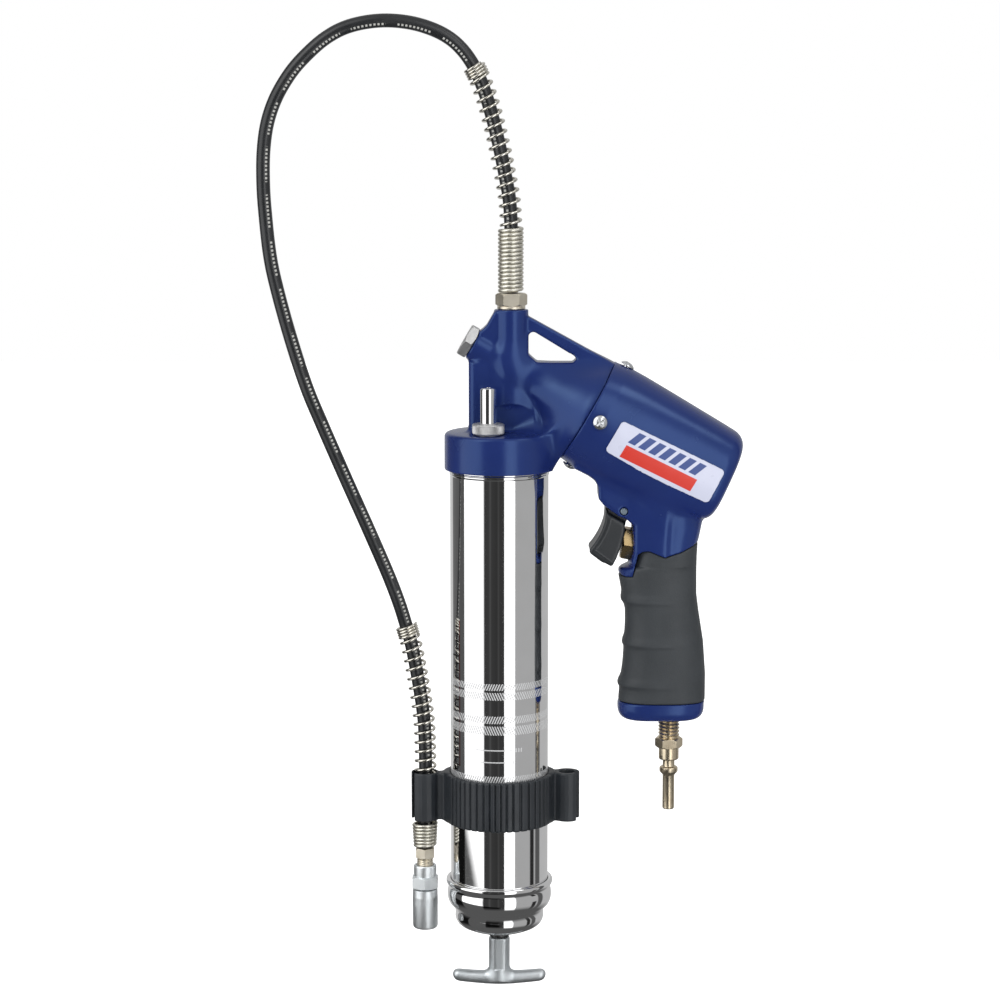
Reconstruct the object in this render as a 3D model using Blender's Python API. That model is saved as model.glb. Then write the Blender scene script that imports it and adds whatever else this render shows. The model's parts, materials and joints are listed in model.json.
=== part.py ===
"""Air-operated pistol-grip grease gun with a whip hose, as an assembly of separate named solids.

Lengths are in millimetres and MM turns them into metres. The gun is drawn about the barrel axis
(x = 0, y = 0) with z = 0 at the cap ring's lower rim. An empty then carries it all, so that the
upper corner of the hanging hole, where a hook bears, lies at the world origin.
"""
import math

import bmesh
import bpy
from mathutils import Vector

MM = 0.001
GAP = 0.3

# Sides of the wide round pieces and of the small six-sided ones
WIDE = 30
HEX = 12

# Frame
HANG_X = 21.0
HANG_Z = 79.4

# Barrel and end cap
BARREL_R = 28.57
BARREL_WALL = 1.2
BARREL_TOP = 14.1
BARREL_BOTTOM = -252.0
CAP_R = 31.75
SOCKET_TOP = 16.5
END_CAP_BOTTOM = -277.0

# Air cylinder axis: it falls 30 degrees towards the rear through the joint face of head and housing
TILT = math.radians(30)
JOINT_X = 50.6
JOINT_Z = 35.0
SKIRT_R = 31.9
SPIGOT_R = 28.4
SPIGOT_END = 15.7
CYLINDER_R = 22.5
CYLINDER_END = 72.0
SCREW_S = 7.5

# Pump line on the same axis, as distances from the joint face
BOSS_FACE = -75.9
BOSS_R = 9.2
PLUG_SHANK_END = -64.0
CHECK_SEAT = -45.0
CHECK_BORE_R = 4.6
PLUNGER_R = 3.6
PLUNGER_TIP = -16.0
STROKE = 26.0
PISTON_FRONT = 58.0
PISTON_THICK = 9.0

# Outlet boss, web and neck
OUTLET_X = 6.9
OUTLET_TOP = 92.8
OUTLET_R = 9.9
WEB_HALF = 4.6
NECK_HALF = 8.4

# Bleeder and filler
BLEEDER_X = -6.3
BLEEDER_Y = -18.0
BLEEDER_SEAT = 23.0

# Trigger and valve
PIN_X = 71.8
PIN_Z = -22.7
VALVE_X = 71.3
VALVE_Z = -42.6
VALVE_TILT = math.radians(10)
CHEEK_HALF = 13.6
SLOT_HALF = 8.4
TRIGGER_HALF = 12.2

# Handle
GRIP_WALL = 3.0
GRIP_BOTTOM = -136.1
BUTT_BOTTOM = -146.9
AIR_X = 99.6
AIR_Z = -149.8

# Hose
HOSE_R = 4.05
COUPLER_X = -43.4
GUARD_R = 6.5
COIL_R = 7.45

# Clip
CLIP_TOP = -179.1
CLIP_BOTTOM = -208.5
CLIP_R = 31.8
SOCKET_X = 39.2

# Where the clip's socket walls end, in degrees from straight outwards: front and back, outer then inner
LEFT_MOUTH = (42.0, 8.0, 30.0, 9.5)
RIGHT_MOUTH = (45.0, 15.0, 28.0, 26.0)

# Follower
FOLLOWER_Z = 3.0
ROD_R = 4.0

BLUE = ("blue_enamel", (0.022, 0.040, 0.215), 0.32, 0.0)
CHROME = ("chrome_plate", (0.78, 0.79, 0.81), 0.08, 1.0)
ZINC = ("zinc_plate", (0.62, 0.64, 0.66), 0.32, 1.0)
STEEL = ("steel", (0.56, 0.56, 0.57), 0.35, 1.0)
SPRING = ("spring_steel", (0.66, 0.65, 0.60), 0.28, 1.0)
BRASS = ("brass", (0.62, 0.47, 0.24), 0.30, 1.0)
RUBBER = ("black_rubber", (0.018, 0.019, 0.021), 0.55, 0.0)
GRIP = ("grey_rubber", (0.055, 0.060, 0.066), 0.62, 0.0)
PLASTIC = ("grey_plastic", (0.052, 0.056, 0.062), 0.42, 0.0)
WHITE = ("label_white", (0.80, 0.80, 0.84), 0.35, 0.0)


# ---------------------------------------------------------------- basics

def clear_scene():
    for obj in list(bpy.data.objects):
        bpy.data.objects.remove(obj, do_unlink=True)


def make_root():
    root = bpy.data.objects.new("gun_frame", None)
    root.location = (-HANG_X * MM, 0.0, -HANG_Z * MM)
    bpy.context.collection.objects.link(root)
    return root


def along(s, h=0.0, y=0.0):
    """Point at distance s along the air cylinder axis and h above it."""
    x = JOINT_X + s * math.cos(TILT) + h * math.sin(TILT)
    z = JOINT_Z - s * math.sin(TILT) + h * math.cos(TILT)
    return Vector((x, y, z))


def valve_point(t, up=0.0):
    """Point at distance t into the handle along the valve axis and up from it."""
    x = VALVE_X + t * math.cos(VALVE_TILT) + up * math.sin(VALVE_TILT)
    z = VALVE_Z - t * math.sin(VALVE_TILT) + up * math.cos(VALVE_TILT)
    return Vector((x, 0.0, z))


CYLINDER_DIR = Vector((math.cos(TILT), 0.0, -math.sin(TILT)))
NORMAL_DIR = Vector((math.sin(TILT), 0.0, math.cos(TILT)))
VALVE_DIR = Vector((math.cos(VALVE_TILT), 0.0, -math.sin(VALVE_TILT)))
UP = Vector((0.0, 0.0, 1.0))


def material(look):
    name, colour, roughness, metallic = look
    made = bpy.data.materials.get(name)
    if made:
        return made
    made = bpy.data.materials.new(name)
    made.use_nodes = True
    made.diffuse_color = (*colour, 1.0)
    shader = made.node_tree.nodes["Principled BSDF"]
    shader.inputs["Base Color"].default_value = (*colour, 1.0)
    shader.inputs["Roughness"].default_value = roughness
    shader.inputs["Metallic"].default_value = metallic
    return made


def add_object(name, mesh, look, origin=(0, 0, 0), direction=UP, smooth=30):
    """Puts a mesh in the scene with its local +Z along direction."""
    obj = bpy.data.objects.new(name, mesh)
    bpy.context.collection.objects.link(obj)
    obj.parent = ROOT
    obj.location = Vector(origin) * MM
    obj.rotation_mode = "QUATERNION"
    obj.rotation_quaternion = UP.rotation_difference(Vector(direction))
    if look:
        mesh.materials.append(material(look))
    mesh.shade_smooth()
    mesh.set_sharp_from_angle(angle=math.radians(smooth))
    return obj


def mesh_from(name, points, faces):
    """Mesh from points in millimetres, with its faces turned outwards."""
    shape = bmesh.new()
    verts = [shape.verts.new(Vector(point) * MM) for point in points]
    for face in faces:
        shape.faces.new([verts[i] for i in face])
    bmesh.ops.recalc_face_normals(shape, faces=shape.faces)
    mesh = bpy.data.meshes.new(name)
    shape.to_mesh(mesh)
    shape.free()
    return mesh


def as_tool(obj):
    obj.hide_render = True
    obj.display_type = "WIRE"
    return obj


def combine(target, tool, operation):
    modifier = target.modifiers.new(operation.lower() + "_" + tool.name, "BOOLEAN")
    modifier.operation = operation
    modifier.solver = "EXACT"
    modifier.object = as_tool(tool)
    return target


def cut(target, *tools):
    for tool in tools:
        combine(target, tool, "DIFFERENCE")
    return target


def join(target, *tools):
    for tool in tools:
        combine(target, tool, "UNION")
    return target


# ---------------------------------------------------------------- shape makers

def row_radius(row, angle):
    """A row's radius; a hex row's size is half its width across the flats."""
    if len(row) < 3:
        return row[0]
    sixth = math.radians(60)
    return row[0] / math.cos((angle + sixth / 2) % sixth - sixth / 2)


def turned(name, rows, look=None, origin=(0, 0, 0), direction=UP, segments=16, turn=0.0, phase=0.0):
    """Solid of revolution through rows of (radius, height); "hex" rows are six-sided.

    A profile that starts and ends on the axis is closed there, any other one is a ring.
    """
    points = []
    rings = []
    for row in rows:
        if row[0] == 0:
            rings.append([len(points)])
            points.append((0.0, 0.0, row[1]))
            continue
        rings.append(list(range(len(points), len(points) + segments)))
        for i in range(segments):
            angle = 2 * math.pi * i / segments + phase
            radius = row_radius(row, angle + math.radians(turn))
            points.append((radius * math.cos(angle), radius * math.sin(angle), row[1]))
    pairs = list(zip(rings, rings[1:]))
    if rows[0][0] > 0:
        pairs.append((rings[-1], rings[0]))
    faces = []
    for low, high in pairs:
        for i in range(segments):
            j = (i + 1) % segments
            if len(low) == 1:
                faces.append((low[0], high[i], high[j]))
            elif len(high) == 1:
                faces.append((low[i], low[j], high[0]))
            else:
                faces.append((low[i], low[j], high[j], high[i]))
    return add_object(name, mesh_from(name, points, faces), look, origin, direction)


def rod(name, radius, start, end, look=None, segments=12):
    """Plain round rod between two points; its seams' angle depends on the radius so that no two line up."""
    start = Vector(start)
    axis = Vector(end) - start
    rows = [(0, 0), (radius, 0), (radius, axis.length), (0, axis.length)]
    return turned(name, rows, look, start, axis.normalized(), segments, phase=0.1 + 0.07 * radius)


def prism(name, outline, half, look=None, bevel=0.0, smooth=30):
    """Plate of an (x, z) outline, as thick as twice half in y."""
    count = len(outline)
    points = [(x, -half, z) for x, z in outline] + [(x, half, z) for x, z in outline]
    faces = [tuple(range(count)), tuple(range(2 * count - 1, count - 1, -1))]
    for i in range(count):
        j = (i + 1) % count
        faces.append((i, j, count + j, count + i))
    obj = add_object(name, mesh_from(name, points, faces), look, smooth=smooth)
    if bevel:
        edge = obj.modifiers.new("edges", "BEVEL")
        edge.width = bevel * MM
        edge.segments = 1
        edge.limit_method = "ANGLE"
        edge.angle_limit = math.radians(35)
    return obj


def loft(name, rings, look=None, smooth=35):
    """Skin over rings that have the same number of points, with flat ends."""
    count = len(rings[0])
    points = [point for ring in rings for point in ring]
    faces = [tuple(range(count)), tuple(range(len(points) - count, len(points)))]
    for k in range(len(rings) - 1):
        for i in range(count):
            j = (i + 1) % count
            faces.append((k * count + i, k * count + j, (k + 1) * count + j, (k + 1) * count + i))
    return add_object(name, mesh_from(name, points, faces), look, smooth=smooth)


def super_arc(power, count):
    """Unit superellipse as (across, up) pairs."""
    pairs = []
    for i in range(count):
        angle = 2 * math.pi * i / count
        across = math.copysign(abs(math.cos(angle)) ** (2 / power), math.cos(angle))
        up = math.copysign(abs(math.sin(angle)) ** (2 / power), math.sin(angle))
        pairs.append((across, up))
    return pairs


def rounded(corners, radius, steps=3):
    """Outline with every corner replaced by an arc of about the given radius."""
    outline = []
    count = len(corners)
    for i, corner in enumerate(corners):
        here = Vector(corner)
        before = (Vector(corners[i - 1]) - here).normalized()
        after = (Vector(corners[(i + 1) % count]) - here).normalized()
        half = before.angle(after) / 2
        back = radius / math.tan(half)
        centre = here + (before + after).normalized() * radius / math.sin(half)
        first = here + before * back - centre
        last = here + after * back - centre
        for k in range(steps + 1):
            spoke = first.slerp(last, k / steps)
            outline.append(tuple(centre + spoke))
    return outline


def smooth_path(knots, steps):
    """Catmull-Rom curve through the knots, with the given steps between neighbours."""
    knots = [Vector(knot) for knot in knots]
    ends = [2 * knots[0] - knots[1]] + knots + [2 * knots[-1] - knots[-2]]
    path = []
    for k in range(1, len(ends) - 2):
        a, b, c, d = ends[k - 1:k + 3]
        for i in range(steps):
            t = i / steps
            path.append(0.5 * (2 * b + (c - a) * t + (2 * a - 5 * b + 4 * c - d) * t ** 2
                               + (3 * b - a - 3 * c + d) * t ** 3))
    path.append(knots[-1])
    return path


def resample(path, spacing):
    """Points at even distances along a path."""
    lengths = [0.0]
    for a, b in zip(path, path[1:]):
        lengths.append(lengths[-1] + (b - a).length)
    count = max(2, round(lengths[-1] / spacing))
    out = []
    k = 0
    for i in range(count + 1):
        target = lengths[-1] * i / count
        while k < len(path) - 2 and lengths[k + 1] < target:
            k += 1
        part = (target - lengths[k]) / (lengths[k + 1] - lengths[k])
        out.append(path[k].lerp(path[k + 1], part))
    return out


def tube_curve(name, path, radius, look, sides=2):
    """Solid round tube along a path, as a bevelled curve with closed ends."""
    curve = bpy.data.curves.new(name, "CURVE")
    curve.dimensions = "3D"
    curve.bevel_depth = radius * MM
    curve.bevel_resolution = sides
    curve.use_fill_caps = True
    spline = curve.splines.new("POLY")
    spline.points.add(len(path) - 1)
    for point, place in zip(spline.points, path):
        point.co = (*(Vector(place) * MM), 1.0)
    spline.use_smooth = True
    obj = bpy.data.objects.new(name, curve)
    bpy.context.collection.objects.link(obj)
    obj.parent = ROOT
    curve.materials.append(material(look))
    return obj


def coil_spring(name, start, end, radius, wire, turns, look=SPRING, per_turn=12):
    """Compression spring between two points, its end coils closed up."""
    start = Vector(start)
    axis = Vector(end) - start
    turned_frame = UP.rotation_difference(axis.normalized())
    count = int(turns * per_turn)
    travel = axis.length - wire
    path = []
    for i in range(count + 1):
        share = i / count
        angle = 2 * math.pi * turns * share
        height = wire / 2 + travel * share
        offset = Vector((radius * math.cos(angle), radius * math.sin(angle), height))
        path.append(start + turned_frame @ offset)
    return tube_curve(name, path, wire / 2, look, sides=0)


def sleeve_along(name, path, outer, inner, look, segments=8):
    """Tube with a bore that follows a path lying near the xz plane."""
    rings = []
    count = len(path)
    for k, place in enumerate(path):
        ahead = path[min(k + 1, count - 1)]
        behind = path[max(k - 1, 0)]
        tangent = (ahead - behind).normalized()
        side = Vector((0, 1, 0)) - tangent * tangent.y
        side.normalize()
        other = tangent.cross(side)
        rings.append((place, side, other))
    points = []
    for radius in (outer, inner):
        for place, side, other in rings:
            for i in range(segments):
                angle = 2 * math.pi * i / segments
                points.append(place + side * radius * math.cos(angle) + other * radius * math.sin(angle))
    half = count * segments
    faces = []
    for base in (0, half):
        for k in range(count - 1):
            for i in range(segments):
                j = (i + 1) % segments
                low = base + k * segments
                faces.append((low + i, low + j, low + segments + j, low + segments + i))
    for low in (0, (count - 1) * segments):
        for i in range(segments):
            j = (i + 1) % segments
            faces.append((low + i, low + j, half + low + j, half + low + i))
    return add_object(name, mesh_from(name, points, faces), look)


# ---------------------------------------------------------------- pump head

def head_cap():
    rows = [(0, 0), (CAP_R - 0.8, 0), (CAP_R, 0.9), (CAP_R, 18.4), (CAP_R - 0.7, 20.0), (29.6, 21.1),
            (24.0, 22.4), (0, 23.4)]
    return turned("pump_head", rows, BLUE, segments=WIDE)


def head_line():
    """Boss, pump body, cone and spigot, all turned about the air cylinder axis."""
    rows = [(0, BOSS_FACE), (BOSS_R - 0.6, BOSS_FACE), (BOSS_R, BOSS_FACE + 0.6), (BOSS_R, -40.0),
            (11.0, -33.0), (24.2, -9.0), (SKIRT_R - 1.0, -0.9), (SKIRT_R - 1.0, -GAP), (SPIGOT_R, -GAP),
            (SPIGOT_R, SPIGOT_END - 1.0), (SPIGOT_R - 1.0, SPIGOT_END), (0, SPIGOT_END)]
    return turned("head_line", rows, None, along(0), CYLINDER_DIR, WIDE, phase=0.04)


def head_neck():
    outline = [(-17.7, 18.0), (-17.7, 63.5), (-10.0, 66.0), (14.0, 60.0), (24.0, 40.0), (24.0, 18.0)]
    return prism("head_neck", outline, NECK_HALF, bevel=2.0)


def head_outlet():
    rows = [(0, 40.0), (OUTLET_R + 0.1, 40.0), (OUTLET_R, 84.0), (OUTLET_R - 0.1, OUTLET_TOP - 0.6),
            (OUTLET_R - 0.6, OUTLET_TOP), (0, OUTLET_TOP)]
    return turned("head_outlet", rows, None, (OUTLET_X, 0, 0), phase=0.13)


def head_gusset():
    outline = [(-11.6, 80.2), (-9.4, 81.8), (-7.2, 84.0), (-2.6, OUTLET_TOP - 0.8), (6.0, OUTLET_TOP - 1.2),
               (6.0, 58.0), (-8.0, 62.0)]
    return prism("head_gusset", outline, 7.0, bevel=1.5)


def head_web():
    outline = [(8.0, OUTLET_TOP - 3.0), (16.6, 89.4), (65.6, 62.4), (60.0, 44.0), (20.0, 50.0), (8.0, 60.0)]
    return prism("head_web", outline, WEB_HALF, bevel=1.2)


def hanging_hole():
    corners = [(16.8, 82.4), (44.8, 65.4), (42.2, 62.6), (22.2, 62.6), (16.8, 66.8)]
    return prism("hanging_hole", rounded(corners, 2.2), 30)


def head_cuts():
    wide = BARREL_R + GAP + 0.1
    socket = turned("socket_cut", [(0, -5), (wide, -5), (wide, SOCKET_TOP), (0, SOCKET_TOP)], segments=WIDE)
    inlet = rod("inlet_cut", 3.0, (12.6, 0, SOCKET_TOP - 2),
                along(CHECK_SEAT + 2.0, -1.0) - Vector((1.4, 0, 0)))
    check_rows = [(0, BOSS_FACE - 5), (6.4, BOSS_FACE - 5), (6.4, PLUG_SHANK_END),
                  (CHECK_BORE_R, PLUG_SHANK_END), (CHECK_BORE_R, CHECK_SEAT), (2.2, CHECK_SEAT + 2.0),
                  (PLUNGER_R + GAP, CHECK_SEAT + 3.5), (PLUNGER_R + GAP, -8.0), (7.9, -8.0), (7.9, -1.0),
                  (20.0, -1.0), (20.0, SPIGOT_END + 5), (0, SPIGOT_END + 5)]
    line = turned("pump_bore_cut", check_rows, None, along(0), CYLINDER_DIR)
    outlet = rod("outlet_cut", 2.8, (OUTLET_X, 0, 60.0), (OUTLET_X, 0, 84.0))
    port = rod("outlet_port_cut", 5.4, (OUTLET_X, 0, 81.0), (OUTLET_X, 0, OUTLET_TOP + 5))
    bleeder = rod("bleeder_cut", 6.6, (BLEEDER_X, BLEEDER_Y, SOCKET_TOP - 4), (BLEEDER_X, BLEEDER_Y, 26.0))
    seat = rod("bleeder_seat_cut", 9.9, (BLEEDER_X, BLEEDER_Y, BLEEDER_SEAT - 0.6),
               (BLEEDER_X, BLEEDER_Y, 30.0))
    groove = turned("seal_groove_cut", [(26.6, 11.6), (35.0, 11.6), (35.0, 14.2), (26.6, 14.2)], None,
                    along(0), CYLINDER_DIR, WIDE)
    return [socket, inlet, line, outlet, port, bleeder, seat, groove, hanging_hole()]


SCREWS = {
    "top": (NORMAL_DIR, 33.3),
    "bottom": (-NORMAL_DIR, 32.8),
    "front": (Vector((0, -1, 0)), 32.5),
    "back": (Vector((0, 1, 0)), 32.5),
}


def screw_hole(side, radius, depth):
    direction = SCREWS[side][0]
    start = along(SCREW_S) + direction * (SPIGOT_R - depth)
    return rod(f"screw_hole_{side}_{depth:.0f}", radius, start, along(SCREW_S) + direction * 45,
               segments=12)


def pump_head():
    head = head_cap()
    join(head, head_line(), head_neck(), head_outlet(), head_gusset(), head_web())
    cut(head, *head_cuts())
    cut(head, *[screw_hole(side, 2.6, 6.0) for side in SCREWS])


def head_fittings():
    plug_rows = [(0, -5.6), (8.3, -5.6), (9.0, -4.6, "hex"), (9.0, -GAP, "hex"), (6.1, -GAP),
                 (6.1, PLUG_SHANK_END - BOSS_FACE - 1.2), (5.2, PLUG_SHANK_END - BOSS_FACE - 0.2),
                 (0, PLUG_SHANK_END - BOSS_FACE - 0.2)]
    turned("hex_plug", plug_rows, ZINC, along(BOSS_FACE), CYLINDER_DIR, segments=HEX, turn=30)
    ball = along(CHECK_SEAT - 3.0)
    rows = [(3.3 * math.sin(math.pi * k / 8), -3.3 * math.cos(math.pi * k / 8)) for k in range(9)]
    rows[0] = (0, -3.3)
    rows[-1] = (0, 3.3)
    turned("outlet_ball", rows, STEEL, ball, CYLINDER_DIR, 10)
    coil_spring("outlet_spring", along(PLUG_SHANK_END + GAP + 0.2), along(CHECK_SEAT - 6.8), 3.2, 0.8, 5,
                per_turn=8)
    packing = [(PLUNGER_R + GAP, -7.7), (7.6, -7.7), (7.6, -1.4), (PLUNGER_R + GAP, -1.4)]
    turned("plunger_packing", packing, RUBBER, along(0), CYLINDER_DIR)
    seal = [(26.9, 11.9), (28.5, 12.3), (28.5, 13.5), (26.9, 13.9)]
    turned("spigot_seal", seal, RUBBER, along(0), CYLINDER_DIR, WIDE)
    for side, (direction, base) in SCREWS.items():
        rows = [(0, -7.5), (2.2, -7.5), (2.2, 0), (4.25, 0), (4.25, 0.7), (3.6, 1.8), (2.2, 2.3), (0, 2.4)]
        turned(f"skirt_screw_{side}", rows, ZINC, along(SCREW_S) + direction * base, direction, 12)


def bleeder():
    origin = (BLEEDER_X, BLEEDER_Y, BLEEDER_SEAT)
    base = [(1.8, -6.0), (6.3, -6.0), (6.3, -GAP), (9.0, -GAP), (9.4, 0.2), (9.4, 5.1), (8.8, 5.7),
            (4.7, 6.3), (4.7, -5.0), (1.8, -5.0)]
    turned("bleeder_base", base, ZINC, origin)
    pin = [(0, -1.6), (4.0, -1.6), (4.4, -1.2), (4.4, 25.9), (3.8, 26.6), (1.6, 26.6), (1.4, 25.0),
           (0, 24.6)]
    turned("bleeder_pin", pin, CHROME, origin)
    coil_spring("bleeder_spring", Vector(origin) - UP * 4.7, Vector(origin) - UP * 1.9, 3.4, 0.6, 2,
                per_turn=8)


# ---------------------------------------------------------------- housing, handle and grip

# Station along the axis, top, bottom, half width, squareness, lean of the section
BODY_STATIONS = [
    (0.0, 31.3, -31.3, 31.3, 2.0, 0.0),
    (0.9, 31.9, -31.9, 31.9, 2.0, 0.0),
    (9.0, 33.1, -32.5, 31.9, 2.05, 0.0),
    (20.0, 33.3, -32.2, 31.2, 2.15, 0.0),
    (38.0, 33.0, -30.8, 29.8, 2.3, -0.02),
    (58.0, 32.6, -28.6, 28.3, 2.45, -0.05),
    (76.0, 32.2, -25.0, 27.2, 2.6, -0.085),
    (86.3, 31.7, -21.4, 26.4, 2.6, -0.103),
    (89.5, 30.4, -19.6, 25.0, 2.6, -0.103),
    (90.8, 28.2, -17.4, 22.8, 2.6, -0.103),
    (91.2, 25.6, -15.0, 20.0, 2.6, -0.103),
]

# Height, front, back, half width, squareness
HANDLE_STATIONS = [
    (4.0, 82.0, 112.0, 17.0, 2.4),
    (-15.0, 79.0, 117.5, 16.6, 2.4),
    (-26.2, 78.4, 118.4, 16.0, 2.4),
    (-33.8, 78.6, 117.0, 15.6, 2.6),
    (-42.4, 78.5, 115.2, 15.5, 2.6),
    (-50.0, 77.8, 114.8, 15.7, 2.6),
    (-55.0, 76.2, 114.7, 15.9, 2.6),
    (-56.6, 70.8, 114.7, 16.0, 2.4),
    (-58.0, 69.2, 114.7, 16.0, 2.4),
    (-62.0, 69.4, 114.7, 16.1, 2.4),
    (-72.6, 71.4, 114.8, 16.4, 2.4),
    (-82.0, 73.0, 116.0, 16.9, 2.4),
    (-100.7, 72.8, 119.0, 17.4, 2.4),
    (-119.6, 71.0, 120.4, 17.3, 2.4),
    (-131.0, 70.0, 120.4, 16.9, 2.4),
    (-136.2, 69.6, 120.3, 16.8, 2.5),
    (-137.4, 69.2, 119.8, 17.0, 2.6),
    (-142.6, 69.2, 119.6, 17.0, 2.6),
    (-145.6, 71.0, 117.8, 15.9, 2.6),
    (BUTT_BOTTOM, 74.4, 114.4, 13.0, 2.6),
]

# Upper edge of the rubber grip, from front to back
GRIP_EDGE = [(64.0, -60.6), (69.4, -60.4), (72.6, -61.4), (77.0, -61.0), (78.8, -53.0), (79.9, -48.0),
             (82.4, -46.1), (86.4, -45.6), (95.6, -49.3), (104.4, -46.6), (115.6, -41.5), (126.0, -36.4)]


def body_rings(offset=0.0, count=28):
    rings = []
    for s, top, bottom, half, power, lean in BODY_STATIONS:
        middle = (top + bottom) / 2
        tall = (top - bottom) / 2 + offset
        ring = []
        for across, up in super_arc(power, count):
            h = middle + tall * up
            ring.append(along(s + lean * h, h, (half + offset) * across))
        rings.append(ring)
    return rings


def handle_rings(inset=0.0, count=18, low=-200.0, high=200.0):
    rings = []
    for z, front, back, half, power in HANDLE_STATIONS:
        if not low <= z <= high:
            continue
        middle = (front + back) / 2
        deep = (back - front) / 2 - inset
        wide = half - inset
        rings.append([(middle + deep * a, wide * b, z) for a, b in super_arc(power, count)])
    return rings


def core_rings(inset):
    """The handle core under the rubber, run past both ends of the grip."""
    rings = handle_rings(inset, low=-134.0, high=-41.0)
    top = [(x, y, -30.0) for x, y, z in rings[0]]
    bottom = [(x, y, -141.0) for x, y, z in rings[-1]]
    return [top] + rings + [bottom]


def grip_zone(name, drop):
    """Everything below the grip's upper edge and above the butt."""
    edge = [(x, z - drop) for x, z in GRIP_EDGE]
    outline = edge + [(126.0, GRIP_BOTTOM + drop), (64.0, GRIP_BOTTOM + drop)]
    return prism(name, outline, 30)


def trigger_bracket():
    outline = [(44.0, 2.5), (52.0, -1.2), (55.4, -4.6), (56.7, -8.6), (57.2, -15.8), (60.2, -19.4),
               (69.0, -25.8), (72.3, -26.9), (78.5, -30.8), (78.5, -47.0), (77.2, -52.6), (82.0, -56.0),
               (92.0, -56.0), (96.0, -4.0), (60.0, 10.0)]
    return prism("trigger_bracket", outline, CHEEK_HALF, bevel=1.6)


def housing_cuts():
    rows = [(0, -5), (SPIGOT_R + GAP, -5), (SPIGOT_R + GAP, SPIGOT_END + GAP + 0.3),
            (CYLINDER_R, SPIGOT_END + GAP + 0.3), (CYLINDER_R, CYLINDER_END), (0, CYLINDER_END)]
    bore = turned("cylinder_cut", rows, None, along(0), CYLINDER_DIR, WIDE)
    slot = prism("trigger_slot", [(61.0, -12.8), (61.0, -40.0), (77.8, -40.0), (77.8, -12.8)], SLOT_HALF)
    pin = rod("pin_cut", 2.3, (PIN_X, -30, PIN_Z), (PIN_X, 30, PIN_Z), segments=16)
    spot = rod("valve_spotface", 10.7, valve_point(-12), valve_point(7.1))
    bore_in = rod("valve_bore", 6.7, valve_point(0), valve_point(19.5))
    cross = rod("valve_to_inlet", 2.6, valve_point(18), valve_point(29))
    feed = rod("cylinder_feed", 2.2, (87.3, 1.3, -45.2), along(68.6, -19.7, 2.1), segments=14)
    inlet = rod("inlet_passage", 4.6, (AIR_X, 0, -46.0), (AIR_X, 0, -155.0))
    thread = rod("inlet_thread", 6.6, (AIR_X, 0, -136.0), (AIR_X, 0, -155.0))
    drillings = join(bore_in, spot, cross, feed)
    passage = join(inlet, thread)
    return [bore, drillings, passage, slot, pin]


def motor_housing():
    housing = loft("motor_housing", body_rings(), BLUE)
    join(housing, loft("handle_outer", handle_rings()), trigger_bracket())
    sleeve = grip_zone("grip_space", 0.0)
    cut(sleeve, loft("handle_core", core_rings(GRIP_WALL)))
    cut(housing, sleeve, *housing_cuts())
    cut(housing, *[screw_hole(side, 2.6, 1.0) for side in SCREWS])


def grip():
    sleeve = loft("grip", handle_rings(low=-140.0, high=-33.0), GRIP)
    combine(sleeve, grip_zone("grip_limits", GAP), "INTERSECT")
    cut(sleeve, loft("grip_core_cut", core_rings(GRIP_WALL - GAP)))
    cut(sleeve, join(rod("grip_spotface", 10.7, valve_point(-12), valve_point(7.1)),
                     rod("grip_valve_cut", 7.0, valve_point(0), valve_point(19.5))))


def label(name, side):
    """Curved name plate that follows the housing's side."""
    corners = [along(18.4, 6.9), along(83.0, 10.6), along(84.0, -9.9), along(18.6, -12.3)]
    outline = rounded([(point.x, point.z) for point in corners], 3.0)
    plate = loft(name, body_rings(0.8, 80), WHITE)
    cut(plate, loft(name + "_inner", body_rings(GAP, 80)))
    keep = prism(name + "_outline", outline, 20)
    keep.location.y = side * 34 * MM
    combine(plate, keep, "INTERSECT")


# ---------------------------------------------------------------- trigger, valve and air motor

def trigger():
    pull = [(61.3, 0, -21.4), (60.8, 0, -28.2), (58.4, 0, -35.2), (55.1, 0, -41.0), (52.1, 0, -45.0)]
    front = smooth_path(pull, 2)
    outline = [(point.x, point.z) for point in front]
    outline += [(52.0, -47.0), (52.9, -48.2), (58.4, -52.4), (64.2, -55.4), (65.7, -55.0), (67.6, -50.8),
                (69.6, -44.0), (71.2, -37.0), (71.8, -31.8), (70.8, -29.8), (67.7, -27.6), (62.9, -24.4)]
    pad = prism("trigger", outline, TRIGGER_HALF, PLASTIC, bevel=1.0)
    lug = [(61.8, -20.5), (63.3, -17.9), (67.3, -16.9), (73.8, -17.2), (76.6, -20.5), (76.6, -25.0),
           (74.1, -28.0), (71.3, -33.0), (61.3, -29.0)]
    join(pad, prism("trigger_lug", lug, SLOT_HALF - 0.4))
    cut(pad, rod("trigger_pin_cut", 2.3, (PIN_X, -30, PIN_Z), (PIN_X, 30, PIN_Z), segments=16))
    pocket = [(65.2, -31.6), (80.0, -31.6), (80.0, -60.0), (61.0, -60.0), (61.0, -50.5)]
    cut(pad, prism("trigger_pocket", pocket, 10.7))


def valve():
    rows = [(2.6, 0.0), (8.2, 0.0), (8.75, 0.8, "hex"), (8.75, 6.7, "hex"), (6.4, 6.7), (6.4, 17.5),
            (2.6, 17.5)]
    turned("valve_body", rows, BRASS, valve_point(0), VALVE_DIR, segments=HEX, turn=0)
    stem = [(0, -3.9), (1.6, -3.9), (2.2, -3.3), (2.2, 19.0), (0, 19.0)]
    turned("valve_stem", stem, STEEL, valve_point(0), VALVE_DIR, 16)
    rod("trigger_pin", 2.0, (PIN_X, -CHEEK_HALF - 0.4, PIN_Z), (PIN_X, CHEEK_HALF + 0.4, PIN_Z), ZINC, 16)


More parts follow.
